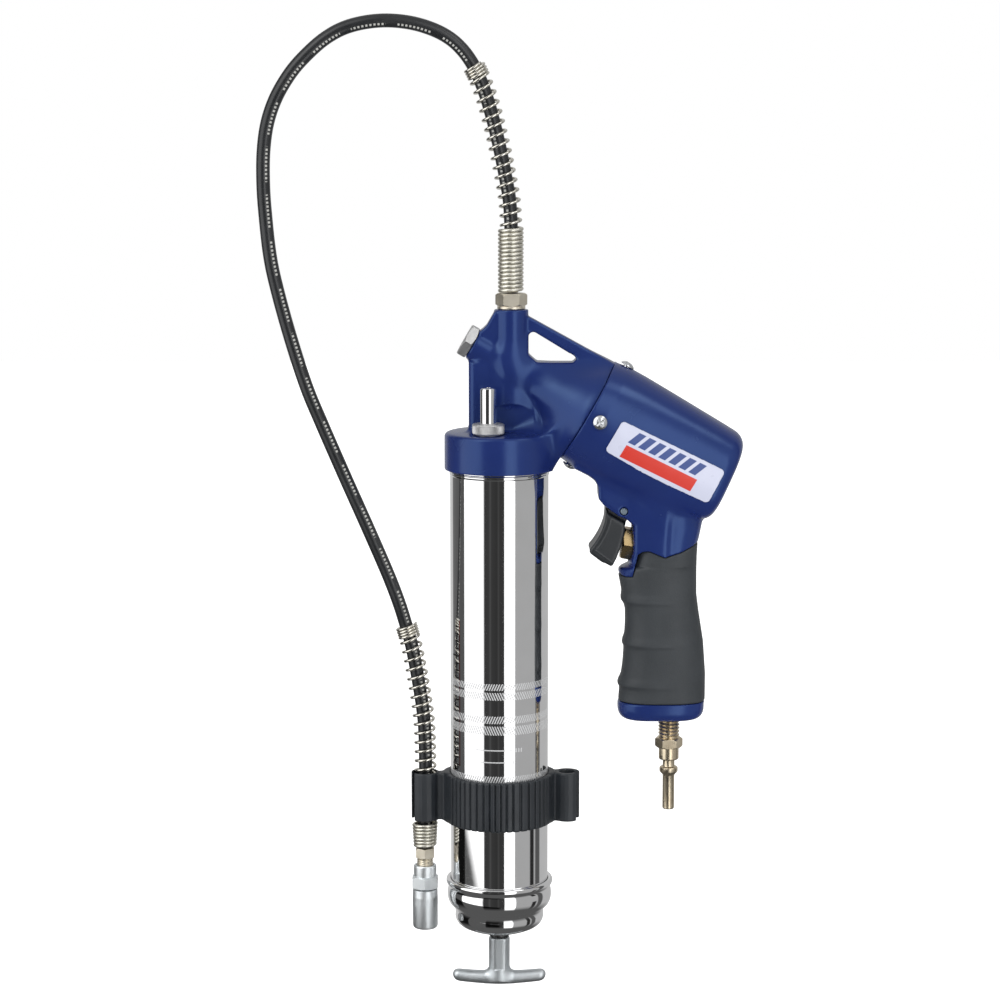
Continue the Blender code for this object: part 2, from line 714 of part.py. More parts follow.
def air_motor():
    front = PISTON_FRONT
    back = PISTON_FRONT + PISTON_THICK
    rows = [(PLUNGER_R + GAP, front), (21.0, front), (22.0, front + 0.8), (22.0, front + 2.6),
            (19.6, front + 2.6), (19.6, front + 6.0), (22.0, front + 6.0), (22.0, back - 0.6), (21.4, back),
            (6.0, back), (6.0, back - 3.4), (PLUNGER_R + GAP, back - 3.4)]
    turned("air_piston", rows, STEEL, along(0), CYLINDER_DIR, 20)
    seal = [(19.9, front + 2.9), (22.2, front + 2.9), (22.2, front + 5.7), (19.9, front + 5.7)]
    turned("piston_seal", seal, RUBBER, along(0), CYLINDER_DIR, 20)
    plunger = [(0, PLUNGER_TIP), (PLUNGER_R - 0.4, PLUNGER_TIP), (PLUNGER_R, PLUNGER_TIP + 0.4),
               (PLUNGER_R, back - 3.0), (5.6, back - 3.0), (5.6, back - 0.5), (0, back - 0.5)]
    turned("plunger_rod", plunger, STEEL, along(0), CYLINDER_DIR, 16)
    coil_spring("return_spring", along(-0.6), along(front - GAP - 0.1), 13.0, 2.2, 6, per_turn=10)


def air_plug():
    """Male quick-connect plug with an exposed tapered thread and a hexagon."""
    rows = [(2.2, 10.0), (6.2, 10.0), (6.4, -8.4), (6.7, -8.8), (7.05, -9.3, "hex"), (7.05, -14.2, "hex"),
            (6.7, -14.8), (5.7, -14.8), (5.7, -22.0), (3.5, -22.6), (3.5, -25.6), (5.4, -26.8),
            (5.4, -29.6), (3.5, -31.4), (3.5, -52.0), (2.2, -52.0)]
    turned("air_plug", rows, BRASS, (AIR_X, 0, AIR_Z), segments=HEX, turn=30)
    screen = [(0, -134.0), (3.9, -134.0), (3.9, -126.0), (3.2, -125.0), (0, -125.0)]
    turned("inlet_screen", screen, STEEL, (AIR_X, 0, 0), segments=16)


# ---------------------------------------------------------------- barrel

def barrel():
    inner = BARREL_R - BARREL_WALL
    rows = [(inner, BARREL_TOP), (BARREL_R, BARREL_TOP), (BARREL_R, -2.6), (BARREL_R + 0.5, -3.4),
            (BARREL_R + 0.5, -6.2), (BARREL_R, -7.0), (BARREL_R, BARREL_BOTTOM), (inner, BARREL_BOTTOM)]
    turned("barrel_tube", rows, CHROME, segments=WIDE)
    gasket = [(23.5, BARREL_TOP + GAP), (BARREL_R - 0.2, BARREL_TOP + GAP),
              (BARREL_R - 0.2, SOCKET_TOP - GAP), (23.5, SOCKET_TOP - GAP)]
    turned("barrel_gasket", gasket, RUBBER, segments=WIDE)


def end_cap():
    outer = [(BARREL_R + GAP, -243.2), (31.2, -243.6), (31.2, -246.6), (30.4, -247.4), (30.3, -255.4),
             (28.0, -259.2), (26.2, -261.6), (26.1, -267.8), (24.6, -270.6), (15.0, -275.2),
             (9.0, END_CAP_BOTTOM), (6.0, END_CAP_BOTTOM)]
    inner = [(6.0, -275.6), (14.6, -274.0), (23.6, -269.6), (24.8, -267.0), (24.8, -261.8), (28.8, -255.6),
             (BARREL_R + GAP, -252.8)]
    turned("end_cap", outer + inner, CHROME, segments=WIDE)
    bushing = [(ROD_R + GAP, -274.2), (8.4, -272.6), (8.4, -273.9), (5.7, -275.4), (5.7, -277.8),
               (ROD_R + GAP, -277.8)]
    turned("rod_bushing", bushing, STEEL)


def follower():
    z = FOLLOWER_Z
    plate = [(ROD_R + GAP, z - 4.6), (21.5, z - 4.6), (24.5, z - 3.4), (24.5, z - 2.2), (21.5, z - 3.1),
             (ROD_R + GAP, z - 3.1)]
    turned("follower_plate", plate, STEEL, segments=20)
    cup = [(ROD_R + GAP, z - 2.7), (21.0, z - 2.7), (25.0, z - 1.6), (26.2, z - 6.0), (27.0, z - 6.0),
           (26.6, z + 1.0), (22.0, z + 3.0), (ROD_R + GAP, z + 3.0)]
    turned("follower_cup", cup, RUBBER, segments=20)
    knob = [(0, z + 5.6), (5.6, z + 5.6), (6.2, z + 5.0), (6.2, z + 3.4), (ROD_R, z + 3.4), (ROD_R, -281.0),
            (0, -281.0)]
    turned("follower_rod", knob, STEEL, segments=16)
    coil_spring("follower_spring", (0, 0, -266.0), (0, 0, z - 5.0), 20.0, 2.4, 9, per_turn=10)


# Place across, rise and radius of the T-handle's bar
T_BAR = [(-27.8, 1.6, 1.8), (-26.8, 1.6, 3.1), (-24.2, 1.4, 3.8), (-12.0, 0.4, 4.1), (0.0, 0.0, 4.5),
         (12.0, 0.4, 4.1), (24.2, 1.4, 3.8), (26.8, 1.6, 3.1), (27.8, 1.6, 1.8)]


def t_handle():
    """Cast handle: a stem with a socket for the rod and a bar that curves up at its ends."""
    stem = [(0, -306.0), (6.0, -306.0), (6.1, -281.6), (5.6, -280.0), (ROD_R + GAP, -280.0),
            (ROD_R + GAP, -281.3), (0, -281.3)]
    handle = turned("t_handle", stem, ZINC)
    rings = []
    for x, rise, radius in T_BAR:
        ring = []
        for i in range(14):
            angle = 2 * math.pi * i / 14
            ring.append((x, radius * math.cos(angle), -305.2 + rise + radius * 0.95 * math.sin(angle)))
        rings.append(ring)
    join(handle, loft("t_bar", rings))


# ---------------------------------------------------------------- hose line

# The hose from its nut over the arch and down to the coupler, at hand-picked places (x, y, z)
HOSE_ROUTE = [
    (6.9, 0, 102.6), (6.9, 0, 120.0), (6.7, 0, 140.0), (5.8, 0, 155.0), (3.6, 0, 168.0), (0.4, -1, 184.0),
    (-3.4, -1, 200.0), (-8.0, -2, 215.5), (-13.8, -3, 229.4), (-21.4, -4, 240.3), (-31.0, -5, 248.0),
    (-44.0, -6, 253.4), (-58.0, -7, 255.9), (-72.0, -8, 255.6), (-86.0, -8, 252.4), (-97.6, -8, 246.3),
    (-108.4, -8, 237.2), (-117.8, -8, 226.7), (-126.0, -8, 213.2), (-131.2, -7, 199.0), (-133.6, -7, 183.0),
    (-134.0, -7, 165.0), (-133.2, -6, 148.0), (-130.8, -6, 124.0), (-127.0, -5, 104.6), (-119.8, -4, 77.0),
    (-111.0, -4, 48.8), (-102.2, -3, 26.6), (-89.3, -2, -4.0), (-76.0, -2, -34.6), (-64.8, -1, -61.4),
    (-58.6, -1, -78.0), (-55.0, 0, -90.0), (-51.8, 0, -101.6), (-49.3, 0, -114.0), (-47.2, 0, -126.4),
    (-45.3, 0, -139.0), (-44.0, 0, -151.4), (-43.5, 0, -166.0), (-43.4, 0, -180.0), (-43.4, 0, -200.0),
    (-43.4, 0, -225.0),
]
UPPER_COIL_TOP = 140.3
UPPER_GUARD_END = 231.2
LOWER_GUARD_TOP = -91.2
LOWER_COIL_TOP = -208.9
LOWER_COIL_END = -224.9


def stretch(path, high, low, rising):
    """The part of the hose path between two heights, on its rising or falling side."""
    peak = max(range(len(path)), key=lambda i: path[i].z)
    side = path[:peak] if rising else path[peak:]
    return [point for point in side if low <= point.z <= high]


def hose_line():
    fine = smooth_path(HOSE_ROUTE, 12)
    hose = resample(fine, 11.5)
    tube_curve("hose", hose, HOSE_R, RUBBER)
    coil = [(5.0, 102.4), (COIL_R, 102.4), (COIL_R, UPPER_COIL_TOP - GAP), (5.0, UPPER_COIL_TOP - GAP)]
    turned("upper_coil_guard", coil, SPRING, (OUTLET_X, 0, 0), segments=20)
    upper = resample(stretch(fine, UPPER_GUARD_END, UPPER_COIL_TOP, True), 11.0)
    sleeve_along("upper_spring_guard", upper, GUARD_R, 5.1, SPRING)
    lower = resample(stretch(fine, LOWER_GUARD_TOP, LOWER_COIL_TOP + GAP, False), 11.0)
    sleeve_along("lower_spring_guard", lower, GUARD_R, 5.1, SPRING)
    coil = [(5.0, LOWER_COIL_END), (COIL_R, LOWER_COIL_END), (COIL_R, LOWER_COIL_TOP),
            (5.0, LOWER_COIL_TOP)]
    turned("lower_coil_guard", coil, SPRING, (COUPLER_X, 0, 0), segments=20)


def hose_fittings():
    nut = [(2.0, -9.0), (5.1, -9.0), (5.1, 0), (8.1, GAP), (8.1, 1.9), (7.5, 2.0), (7.95, 2.6, "hex"),
           (7.95, 8.6, "hex"), (7.5, 9.2), (2.0, 9.2)]
    turned("hose_nut", nut, BRASS, (OUTLET_X, 0, OUTLET_TOP), segments=HEX, turn=30)
    end = [(1.8, -225.3), (5.0, -225.3), (5.35, -225.9, "hex"), (5.35, -231.4, "hex"), (5.0, -231.8),
           (4.8, -231.9), (4.8, -244.0), (1.8, -244.0)]
    turned("hose_end_fitting", end, BRASS, (COUPLER_X, 0, 0), segments=HEX, turn=30)
    nut = [(5.1, -236.0), (6.4, -236.0), (6.7, -236.6), (6.7, -242.8), (7.0, -243.0), (7.0, -243.4, "hex"),
           (7.0, -249.6, "hex"), (6.6, -250.2), (2.4, -250.2), (2.4, -244.4), (5.1, -244.4)]
    turned("coupler_body", nut, ZINC, (COUPLER_X, 0, 0), segments=HEX, turn=30)
    sleeve = [(5.6, -250.6), (7.0, -250.6), (7.15, -251.2), (7.15, -273.0), (6.4, -274.2), (4.5, -274.2),
              (4.5, -272.0), (5.6, -269.0)]
    turned("coupler_sleeve", sleeve, ZINC, (COUPLER_X, 0, 0))
    jaws = [(3.6, -272.6), (4.1, -272.6), (5.2, -268.8), (5.2, -251.0), (3.6, -251.0)]
    turned("coupler_jaws", jaws, STEEL, (COUPLER_X, 0, 0))


def ear_outline(centre, side, outer, inner, mouth):
    """Socket open on its outer side; mouth holds the angles at which its walls end, front then back."""
    front, back, front_inner, back_inner = (math.radians(angle) for angle in mouth)
    steps = 12
    outline = []
    for radius, start, stop in ((outer, front, 2 * math.pi - back), (inner, 2 * math.pi - back_inner,
                                                                     front_inner)):
        for k in range(steps + 1):
            angle = start + (stop - start) * k / steps
            outline.append((centre + side * radius * math.cos(angle), -radius * math.sin(angle)))
    return outline


def flat_prism(name, outline, low, high, look=None):
    """Upright plate of an (x, y) outline between two heights."""
    count = len(outline)
    points = [(x, y, low) for x, y in outline] + [(x, y, high) for x, y in outline]
    faces = [tuple(range(count)), tuple(range(2 * count - 1, count - 1, -1))]
    for i in range(count):
        j = (i + 1) % count
        faces.append((i, j, count + j, count + i))
    return add_object(name, mesh_from(name, points, faces), look)


def hose_clip():
    """Rubber clip: a ring on the barrel with a socket on each side."""
    ring = rod("hose_clip", CLIP_R, (0, 0, CLIP_BOTTOM), (0, 0, CLIP_TOP), RUBBER, WIDE)
    for x, outer, inner, mouth in ((COUPLER_X, 8.2, 6.9, LEFT_MOUTH), (SOCKET_X, 7.6, 4.6, RIGHT_MOUTH)):
        side = math.copysign(1, x)
        reach = x - side * (inner + 0.9)
        web = [(side * 29.6, -6.4), (side * 32.2, -4.4), (reach, -4.6), (reach, 4.6), (side * 32.2, 4.4),
               (side * 29.6, 6.4)]
        tag = f"clip_{'left' if x < 0 else 'right'}"
        join(ring, flat_prism(tag + "_web", web, CLIP_BOTTOM + 0.8, CLIP_TOP - 0.8))
        socket = ear_outline(x, side, outer, inner, mouth)
        join(ring, flat_prism(tag + "_socket", socket, CLIP_BOTTOM + 0.2, CLIP_TOP - 0.2))
    cut(ring,
        rod("clip_bore", BARREL_R + GAP, (0, 0, CLIP_BOTTOM - 5), (0, 0, CLIP_TOP + 5), segments=WIDE))


# ---------------------------------------------------------------- build

clear_scene()
ROOT = make_root()
pump_head()
head_fittings()
bleeder()
motor_housing()
grip()
label("side_label_left", -1)
label("side_label_right", 1)
trigger()
valve()
air_motor()
air_plug()
barrel()
end_cap()
follower()
t_handle()
hose_line()
hose_fittings()
hose_clip()
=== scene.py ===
import json
import math

import bpy
import numpy as np
import openvdb
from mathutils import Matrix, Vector


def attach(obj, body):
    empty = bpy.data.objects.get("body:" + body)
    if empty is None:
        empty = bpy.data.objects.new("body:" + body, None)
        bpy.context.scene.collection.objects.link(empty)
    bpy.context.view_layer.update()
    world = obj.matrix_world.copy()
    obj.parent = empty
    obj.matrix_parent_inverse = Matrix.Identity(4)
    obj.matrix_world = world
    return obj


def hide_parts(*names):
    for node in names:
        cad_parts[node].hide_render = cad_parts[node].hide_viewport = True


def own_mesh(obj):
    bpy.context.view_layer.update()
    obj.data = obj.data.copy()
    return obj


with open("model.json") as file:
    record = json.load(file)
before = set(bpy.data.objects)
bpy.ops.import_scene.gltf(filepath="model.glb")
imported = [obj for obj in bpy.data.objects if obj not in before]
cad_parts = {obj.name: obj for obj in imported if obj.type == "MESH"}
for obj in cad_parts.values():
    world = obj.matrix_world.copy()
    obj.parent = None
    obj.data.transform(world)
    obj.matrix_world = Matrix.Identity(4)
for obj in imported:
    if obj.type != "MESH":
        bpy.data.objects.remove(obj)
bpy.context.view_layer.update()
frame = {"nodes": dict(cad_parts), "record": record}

# Shapes are drawn in millimetres about the barrel axis, with z = 0 at the cap ring's lower rim, and
# moved into the frame when they become meshes.
MM = 0.001
SHIFT = np.array([21.0, 0.0, 79.4])
UP = Vector((0.0, 0.0, 1.0))

TILT = math.radians(30)
JOINT_X = 50.6
JOINT_Z = 35.0
CYLINDER_DIR = Vector((math.cos(TILT), 0.0, -math.sin(TILT)))
NORMAL_DIR = Vector((math.sin(TILT), 0.0, math.cos(TILT)))
VALVE_TILT = math.radians(10)
VALVE_DIR = Vector((math.cos(VALVE_TILT), 0.0, -math.sin(VALVE_TILT)))
VALVE = (71.3, -42.6)
PIN = (71.8, -22.7)
BARREL_R = 28.57
OUTLET_X = 6.9
AIR_X = 99.6
COUPLER_X = -43.4
OUTLET_R = 9.9
BUTT_BOTTOM = -146.9
BLEEDER = (-6.3, -18.0, 23.0)

# Station along the housing axis, top, bottom, half width, squareness, lean of the section
BODY_STATIONS = np.array([
    (-5.0, 31.6, -31.6, 31.6, 2.0, 0.0),
    (0.9, 31.9, -31.9, 31.9, 2.0, 0.0),
    (9.0, 33.1, -32.5, 31.9, 2.05, 0.0),
    (20.0, 33.3, -32.2, 31.2, 2.15, 0.0),
    (38.0, 33.0, -30.8, 29.8, 2.3, -0.02),
    (58.0, 32.6, -28.6, 28.3, 2.45, -0.05),
    (76.0, 32.2, -25.0, 27.2, 2.6, -0.085),
    (91.2, 31.7, -21.0, 26.4, 2.6, -0.103),
])
BODY_END = 91.2

# Height, front, back, half width, squareness of the handle, from the butt upwards
HANDLE_STATIONS = np.array([
    (-160.0, 69.2, 119.8, 17.0, 2.6),
    (-137.4, 69.2, 119.8, 17.0, 2.6),
    (-136.2, 69.6, 120.3, 16.8, 2.5),
    (-131.0, 70.0, 120.4, 16.9, 2.4),
    (-119.6, 71.0, 120.4, 17.3, 2.4),
    (-100.7, 72.8, 119.0, 17.4, 2.4),
    (-82.0, 73.0, 116.0, 16.9, 2.4),
    (-72.6, 71.4, 114.8, 16.4, 2.4),
    (-62.0, 69.4, 114.7, 16.1, 2.4),
    (-58.0, 69.2, 114.7, 16.0, 2.4),
    (-56.6, 70.8, 114.7, 16.0, 2.4),
    (-55.0, 76.2, 114.7, 15.9, 2.6),
    (-50.0, 77.8, 114.8, 15.7, 2.6),
    (-42.4, 78.5, 115.2, 15.5, 2.6),
    (-33.8, 78.6, 117.0, 15.6, 2.6),
    (-26.2, 78.4, 118.4, 16.0, 2.4),
    (-15.0, 79.0, 117.5, 16.6, 2.4),
    (4.0, 82.0, 112.0, 17.0, 2.4),
])

# Slanted strokes round the barrel: how many, how far they lean per millimetre of height as a share of their
# spacing, and the low and high edge of each band
STROKES = 120
STROKE_LEAN = 0.30
STROKE_BANDS = [(-124.8, -121.1), (-130.5, -126.2), (-144.3, -140.1), (-151.1, -146.0), (-179.4, -175.7)]

# Upper edge of the rubber grip, from front to back
GRIP_EDGE = [(64.0, -60.6), (69.4, -60.4), (72.6, -61.4), (77.0, -61.0), (78.8, -53.0), (79.9, -48.0),
             (82.4, -46.1), (86.4, -45.6), (95.6, -49.3), (104.4, -46.6), (115.6, -41.5), (126.0, -36.4)]
GRIP_BOTTOM = -136.1
FINGER_BUMPS = [(-75.8, 1.1), (-101.2, 1.1), (-125.4, 1.3)]

# The hose from its nut over the arch and down to the coupler, at listed places
HOSE_ROUTE = [
    (6.9, 0, 102.6), (6.9, 0, 120.0), (6.7, 0, 140.0), (5.8, 0, 155.0), (3.6, 0, 168.0), (0.4, -1, 184.0),
    (-3.4, -1, 200.0), (-8.0, -2, 215.5), (-13.8, -3, 229.4), (-21.4, -4, 240.3), (-31.0, -5, 248.0),
    (-44.0, -6, 253.3), (-58.0, -7, 255.75), (-72.0, -8, 255.45), (-86.0, -8, 252.3), (-97.6, -8, 246.3),
    (-108.4, -8, 237.2), (-117.8, -8, 226.7), (-126.0, -8, 213.2), (-131.2, -7, 199.0), (-133.6, -7, 183.0),
    (-134.0, -7, 165.0), (-133.2, -6, 148.0), (-130.8, -6, 124.0), (-127.0, -5, 104.6), (-119.8, -4, 77.0),
    (-111.0, -4, 48.8), (-102.2, -3, 26.6), (-89.3, -2, -4.0), (-76.0, -2, -34.6), (-64.8, -1, -61.4),
    (-58.6, -1, -78.0), (-55.0, 0, -90.0), (-51.8, 0, -101.6), (-49.3, 0, -114.0), (-47.2, 0, -126.4),
    (-45.3, 0, -139.0), (-44.0, 0, -151.4), (-43.5, 0, -166.0), (-43.4, 0, -180.0), (-43.4, 0, -200.0),
    (-43.4, 0, -225.0),
]
HOSE_R = 3.92


# ---------------------------------------------------------------- camera

def make_camera():
    camera = bpy.data.objects.new("camera", bpy.data.cameras.new("camera"))
    bpy.context.collection.objects.link(camera)
    camera.location = (-0.0206, -1.58201, 0.14188)
    camera.rotation_euler = (math.radians(81.4), 0.0, 0.0)
    camera.data.lens = 99.31
    bpy.context.scene.camera = camera


# ---------------------------------------------------------------- materials

class Number:
    """A shader's number at each point, which can be added, subtracted and multiplied."""

    def __init__(self, socket):
        self.socket = socket

    def __add__(self, other):
        return calculated("ADD", self, other)

    def __sub__(self, other):
        return calculated("SUBTRACT", self, other)

    def __rsub__(self, other):
        return calculated("SUBTRACT", other, self)

    def __mul__(self, other):
        return calculated("MULTIPLY", self, other)


def feed(socket, value):
    """Gives a socket a number of the shader, another socket's value, or a constant."""
    if isinstance(value, Number):
        value = value.socket
    if isinstance(value, bpy.types.NodeSocket):
        socket.id_data.links.new(value, socket)
    elif isinstance(value, tuple):
        socket.default_value = (*value, 1.0)
    else:
        socket.default_value = value


def calculated(operation, *values):
    tree = next(value for value in values if isinstance(value, Number)).socket.id_data
    made = tree.nodes.new("ShaderNodeMath")
    made.operation = operation
    for socket, value in zip(made.inputs, values):
        feed(socket, value)
    return Number(made.outputs[0])


def larger(a, b):
    return calculated("MAXIMUM", a, b)


def repeated(value, period):
    """The value's place within each period, from zero to one."""
    return calculated("FRACT", value * (1 / period))


def noise(coords, scale, detail=3.0):
    made = coords.id_data.nodes.new("ShaderNodeTexNoise")
    made.inputs["Scale"].default_value = scale
    made.inputs["Detail"].default_value = detail
    feed(made.inputs["Vector"], coords)
    return Number(made.outputs["Fac"])


def mapped(value, low, high, start=0.0, end=1.0):
    """The value's range start to end, mapped on to low to high."""
    made = value.socket.id_data.nodes.new("ShaderNodeMapRange")
    for socket, number in zip(made.inputs, (value, start, end, low, high)):
        feed(socket, number)
    return Number(made.outputs["Result"])


def window(value, low, high, soft=0.05):
    """One where the value lies between low and high, with soft edges."""
    return mapped(value, 0.0, 1.0, low - soft, low + soft) * mapped(value, 1.0, 0.0, high - soft, high + soft)


def tinted(mask, low, high):
    """Colour that runs from low to high with the mask."""
    made = mask.socket.id_data.nodes.new("ShaderNodeMix")
    made.data_type = "RGBA"
    for index, value in ((0, mask), (6, low), (7, high)):
        feed(made.inputs[index], value)
    return made.outputs[2]


def surface_material(name, colour, other, roughness, metallic=0.0, scale=60.0, bump=0.0, bump_scale=900.0,
                     stretch=None):
    """Material whose colour and roughness drift with a coarse noise and whose bump is a fine one."""
    made = bpy.data.materials.new(name)
    made.use_nodes = True
    tree = made.node_tree
    shader = shader_of(made)
    shader.inputs["Metallic"].default_value = metallic
    coords = tree.nodes.new("ShaderNodeTexCoord").outputs["Object"]
    if stretch:
        scaled = tree.nodes.new("ShaderNodeMapping")
        scaled.inputs["Scale"].default_value = stretch
        feed(scaled.inputs["Vector"], coords)
        coords = scaled.outputs["Vector"]
    drift = mapped(noise(coords, scale), 0.0, 1.0, 0.2, 0.8)
    feed(shader.inputs["Base Color"], tinted(drift, colour, other))
    feed(shader.inputs["Roughness"], mapped(noise(coords, scale * 2.3), *roughness, 0.2, 0.8))
    if bump:
        relief = tree.nodes.new("ShaderNodeBump")
        relief.inputs["Strength"].default_value = 1.0
        relief.inputs["Distance"].default_value = bump
        feed(relief.inputs["Height"], noise(coords, bump_scale, 2.0))
        feed(shader.inputs["Normal"], relief.outputs["Normal"])
    return made


def shader_of(material):
    return material.node_tree.nodes["Principled BSDF"]


def over_colour(shader, mask, colour):
    """Lays a plain colour over the base colour where the mask is one."""
    socket = shader.inputs["Base Color"]
    feed(socket, tinted(mask, socket.links[0].from_socket, colour))


def coordinates(tree):
    """Object coordinates as one vector, and as its three numbers."""
    coords = tree.nodes.new("ShaderNodeTexCoord").outputs["Object"]
    split = tree.nodes.new("ShaderNodeSeparateXYZ")
    feed(split.inputs[0], coords)
    return coords, [Number(output) for output in split.outputs]


def millimetres(tree):
    """x, y and z in millimetres from the barrel axis and the cap ring's rim."""
    _, axes = coordinates(tree)
    return [axis * 1000.0 + float(shift) for axis, shift in zip(axes, SHIFT)]


def bearing_of(x, y):
    """Angle in degrees round the vertical, 0 towards the front and growing to the right."""
    return calculated("ARCTAN2", x, y * -1.0) * (180.0 / math.pi)


def enamel_material():
    made = surface_material("blue_enamel", (0.0072, 0.0155, 0.090), (0.0090, 0.0185, 0.106), (0.21, 0.29),
                            scale=35.0, bump=20e-6, bump_scale=420.0)
    shader = shader_of(made)
    shader.inputs["Specular IOR Level"].default_value = 0.62
    shader.inputs["Specular Tint"].default_value = (0.38, 0.62, 1.0, 1.0)
    return made


def chrome_material(name):
    return surface_material(name, (0.80, 0.80, 0.80), (0.86, 0.86, 0.87), (0.035, 0.075), 1.0, scale=45.0,
                            bump=2e-6, bump_scale=300.0)


def level_line(x, z, height, left, right):
    """Engraved line across the front with three small strokes to its right."""
    line = window(z, height - 0.3, height + 0.3) * window(x, left, right, 0.1)
    start = right + 1.4
    beside = window(repeated(x - start, 1.5), 0.1, 0.48, 0.04) * window(x, start, start + 4.5, 0.05)
    return larger(line, beside * window(z, height - 1.1, height + 1.1, 0.08))


def slanted_strokes(angle, z):
    """Bands of short strokes round the barrel, which lean to either side in turn."""
    strokes = 0.0
    for k, (low, high) in enumerate(STROKE_BANDS):
        lean = STROKE_LEAN if k % 2 else -STROKE_LEAN
        turn = calculated("FRACT", angle * (STROKES / 360) + z * lean)
        strokes = larger(window(turn, 0.24, 0.72, 0.05) * window(z, low, high, 0.15), strokes)
    return strokes


def barrel_material():
    """Chrome with a scale's ticks at the side, two engraved level lines and pale strokes in the bands."""
    made = chrome_material("barrel_chrome")
    shader = shader_of(made)
    x, y, z = millimetres(made.node_tree)
    angle = bearing_of(x, y)
    span = window(z, -172.0, -86.0)
    short = window(repeated(z, 4.3), 0.0, 0.24, 0.03) * window(angle, -63.0, -55.0, 0.3)
    major = window(repeated(z, 21.5), 0.0, 0.05, 0.01) * window(angle, -70.0, -55.0, 0.3)
    ticks = larger(short, major) * span
    over_colour(shader, ticks, (0.02, 0.018, 0.018))
    over_colour(shader, window(angle, -54.4, -52.6, 0.2) * span, (0.28, 0.02, 0.015))
    upper = level_line(x, z, -160.25, -13.4, 7.9)
    lower = level_line(x, z, -167.35, -11.2, 3.3)
    lines = larger(upper, lower) * mapped(y, 1.0, 0.0, -1.0, 1.0)
    frosted = larger(slanted_strokes(angle, z), lines)
    over_colour(shader, frosted, (0.40, 0.405, 0.41))
    feed(shader.inputs["Metallic"], 1.0 - frosted)
    rough = shader.inputs["Roughness"]
    feed(rough, larger(frosted, ticks) * 0.45 + rough.links[0].from_socket)
    return made


def label_material():
    """White plastic with a red bar and a row of slanted blue blocks above it."""
    made = surface_material("label_plastic", (0.42, 0.435, 0.54), (0.46, 0.475, 0.58), (0.26, 0.34),
                            scale=30.0, bump=4e-6)
    shader = shader_of(made)
    x, _, z = millimetres(made.node_tree)
    dx = x - JOINT_X
    dz = z - JOINT_Z
    cos, sin = math.cos(TILT), math.sin(TILT)
    s = dx * cos - dz * sin
    h = dx * sin + dz * cos
    # the bar's long edges rise slightly towards the back
    level = h - s * 0.058
    bar = window(level, -13.2, -5.3, 0.1) * window(s, 27.0, 72.3, 0.1)
    over_colour(shader, bar, (0.48, 0.024, 0.012))
    lean = s - level * 0.42
    block = window(repeated(lean - 27.5, 6.45), 0.12, 0.80, 0.02)
    row = window(level, -3.6, 4.2, 0.1) * window(lean, 27.5, 72.0, 0.1)
    over_colour(shader, block * row, (0.008, 0.034, 0.17))
    shader.inputs["Coat Weight"].default_value = 0.3
    return made


# Two colours that drift into each other, range of roughness, metallic value, scale of the drift, depth and
# scale of the fine relief, and stretch of both
PLAIN_LOOKS = {
    "zinc_plate": ((0.66, 0.68, 0.71), (0.76, 0.77, 0.78), (0.16, 0.30), 1.0, 120.0, 12e-6, 1500.0),
    "steel": ((0.50, 0.50, 0.51), (0.60, 0.60, 0.60), (0.24, 0.36), 1.0, 90.0, 6e-6),
    "spring_steel": ((0.66, 0.63, 0.55), (0.80, 0.78, 0.72), (0.14, 0.26), 1.0, 160.0, 6e-6),
    "brass": ((0.60, 0.50, 0.35), (0.74, 0.65, 0.49), (0.24, 0.36), 1.0, 130.0, 10e-6, 1300.0),
    "cast_zinc": ((0.58, 0.62, 0.64), (0.70, 0.73, 0.75), (0.42, 0.56), 1.0, 150.0, 30e-6, 700.0),
    "coupler_steel": ((0.74, 0.78, 0.80), (0.88, 0.91, 0.92), (0.38, 0.50), 1.0, 170.0, 8e-6, 900.0,
                      (1.0, 1.0, 0.12)),
    "frosted": ((0.46, 0.46, 0.46), (0.60, 0.60, 0.60), (0.42, 0.58), 1.0, 200.0, 30e-6, 1800.0),
    "pale_brass": ((0.68, 0.62, 0.50), (0.80, 0.75, 0.64), (0.34, 0.46), 1.0, 130.0, 10e-6, 1300.0),
    "bronze": ((0.42, 0.30, 0.14), (0.60, 0.45, 0.24), (0.22, 0.34), 1.0, 110.0, 12e-6, 1100.0),
    "dark_steel": ((0.055, 0.055, 0.055), (0.10, 0.10, 0.10), (0.40, 0.50), 1.0, 120.0, 6e-6),
    "dull_pin": ((0.14, 0.20, 0.26), (0.30, 0.36, 0.40), (0.30, 0.42), 1.0, 200.0, 10e-6),
    "pale_wire": ((0.66, 0.64, 0.56), (0.80, 0.78, 0.70), (0.34, 0.44), 1.0, 160.0, 6e-6),
    "black_rubber": ((0.010, 0.011, 0.012), (0.020, 0.021, 0.022), (0.30, 0.42), 0.0, 60.0, 8e-6),
    "grip_rubber": ((0.018, 0.022, 0.026), (0.025, 0.030, 0.035), (0.50, 0.64), 0.0, 50.0, 60e-6, 1500.0),
    "trigger_plastic": ((0.011, 0.013, 0.016), (0.016, 0.019, 0.022), (0.34, 0.44), 0.0, 60.0, 20e-6,
                        1300.0),
    "clip_rubber": ((0.010, 0.013, 0.017), (0.016, 0.020, 0.025), (0.40, 0.52), 0.0, 80.0, 20e-6, 900.0),
}


def make_materials():
    looks = {name: surface_material(name, *values) for name, values in PLAIN_LOOKS.items()}
    looks["enamel"] = enamel_material()
    looks["chrome_plate"] = chrome_material("chrome_plate")
    looks["barrel"] = barrel_material()
    looks["label_plastic"] = label_material()
    looks["hose"] = hose_material()
    return looks


# ---------------------------------------------------------------- meshes


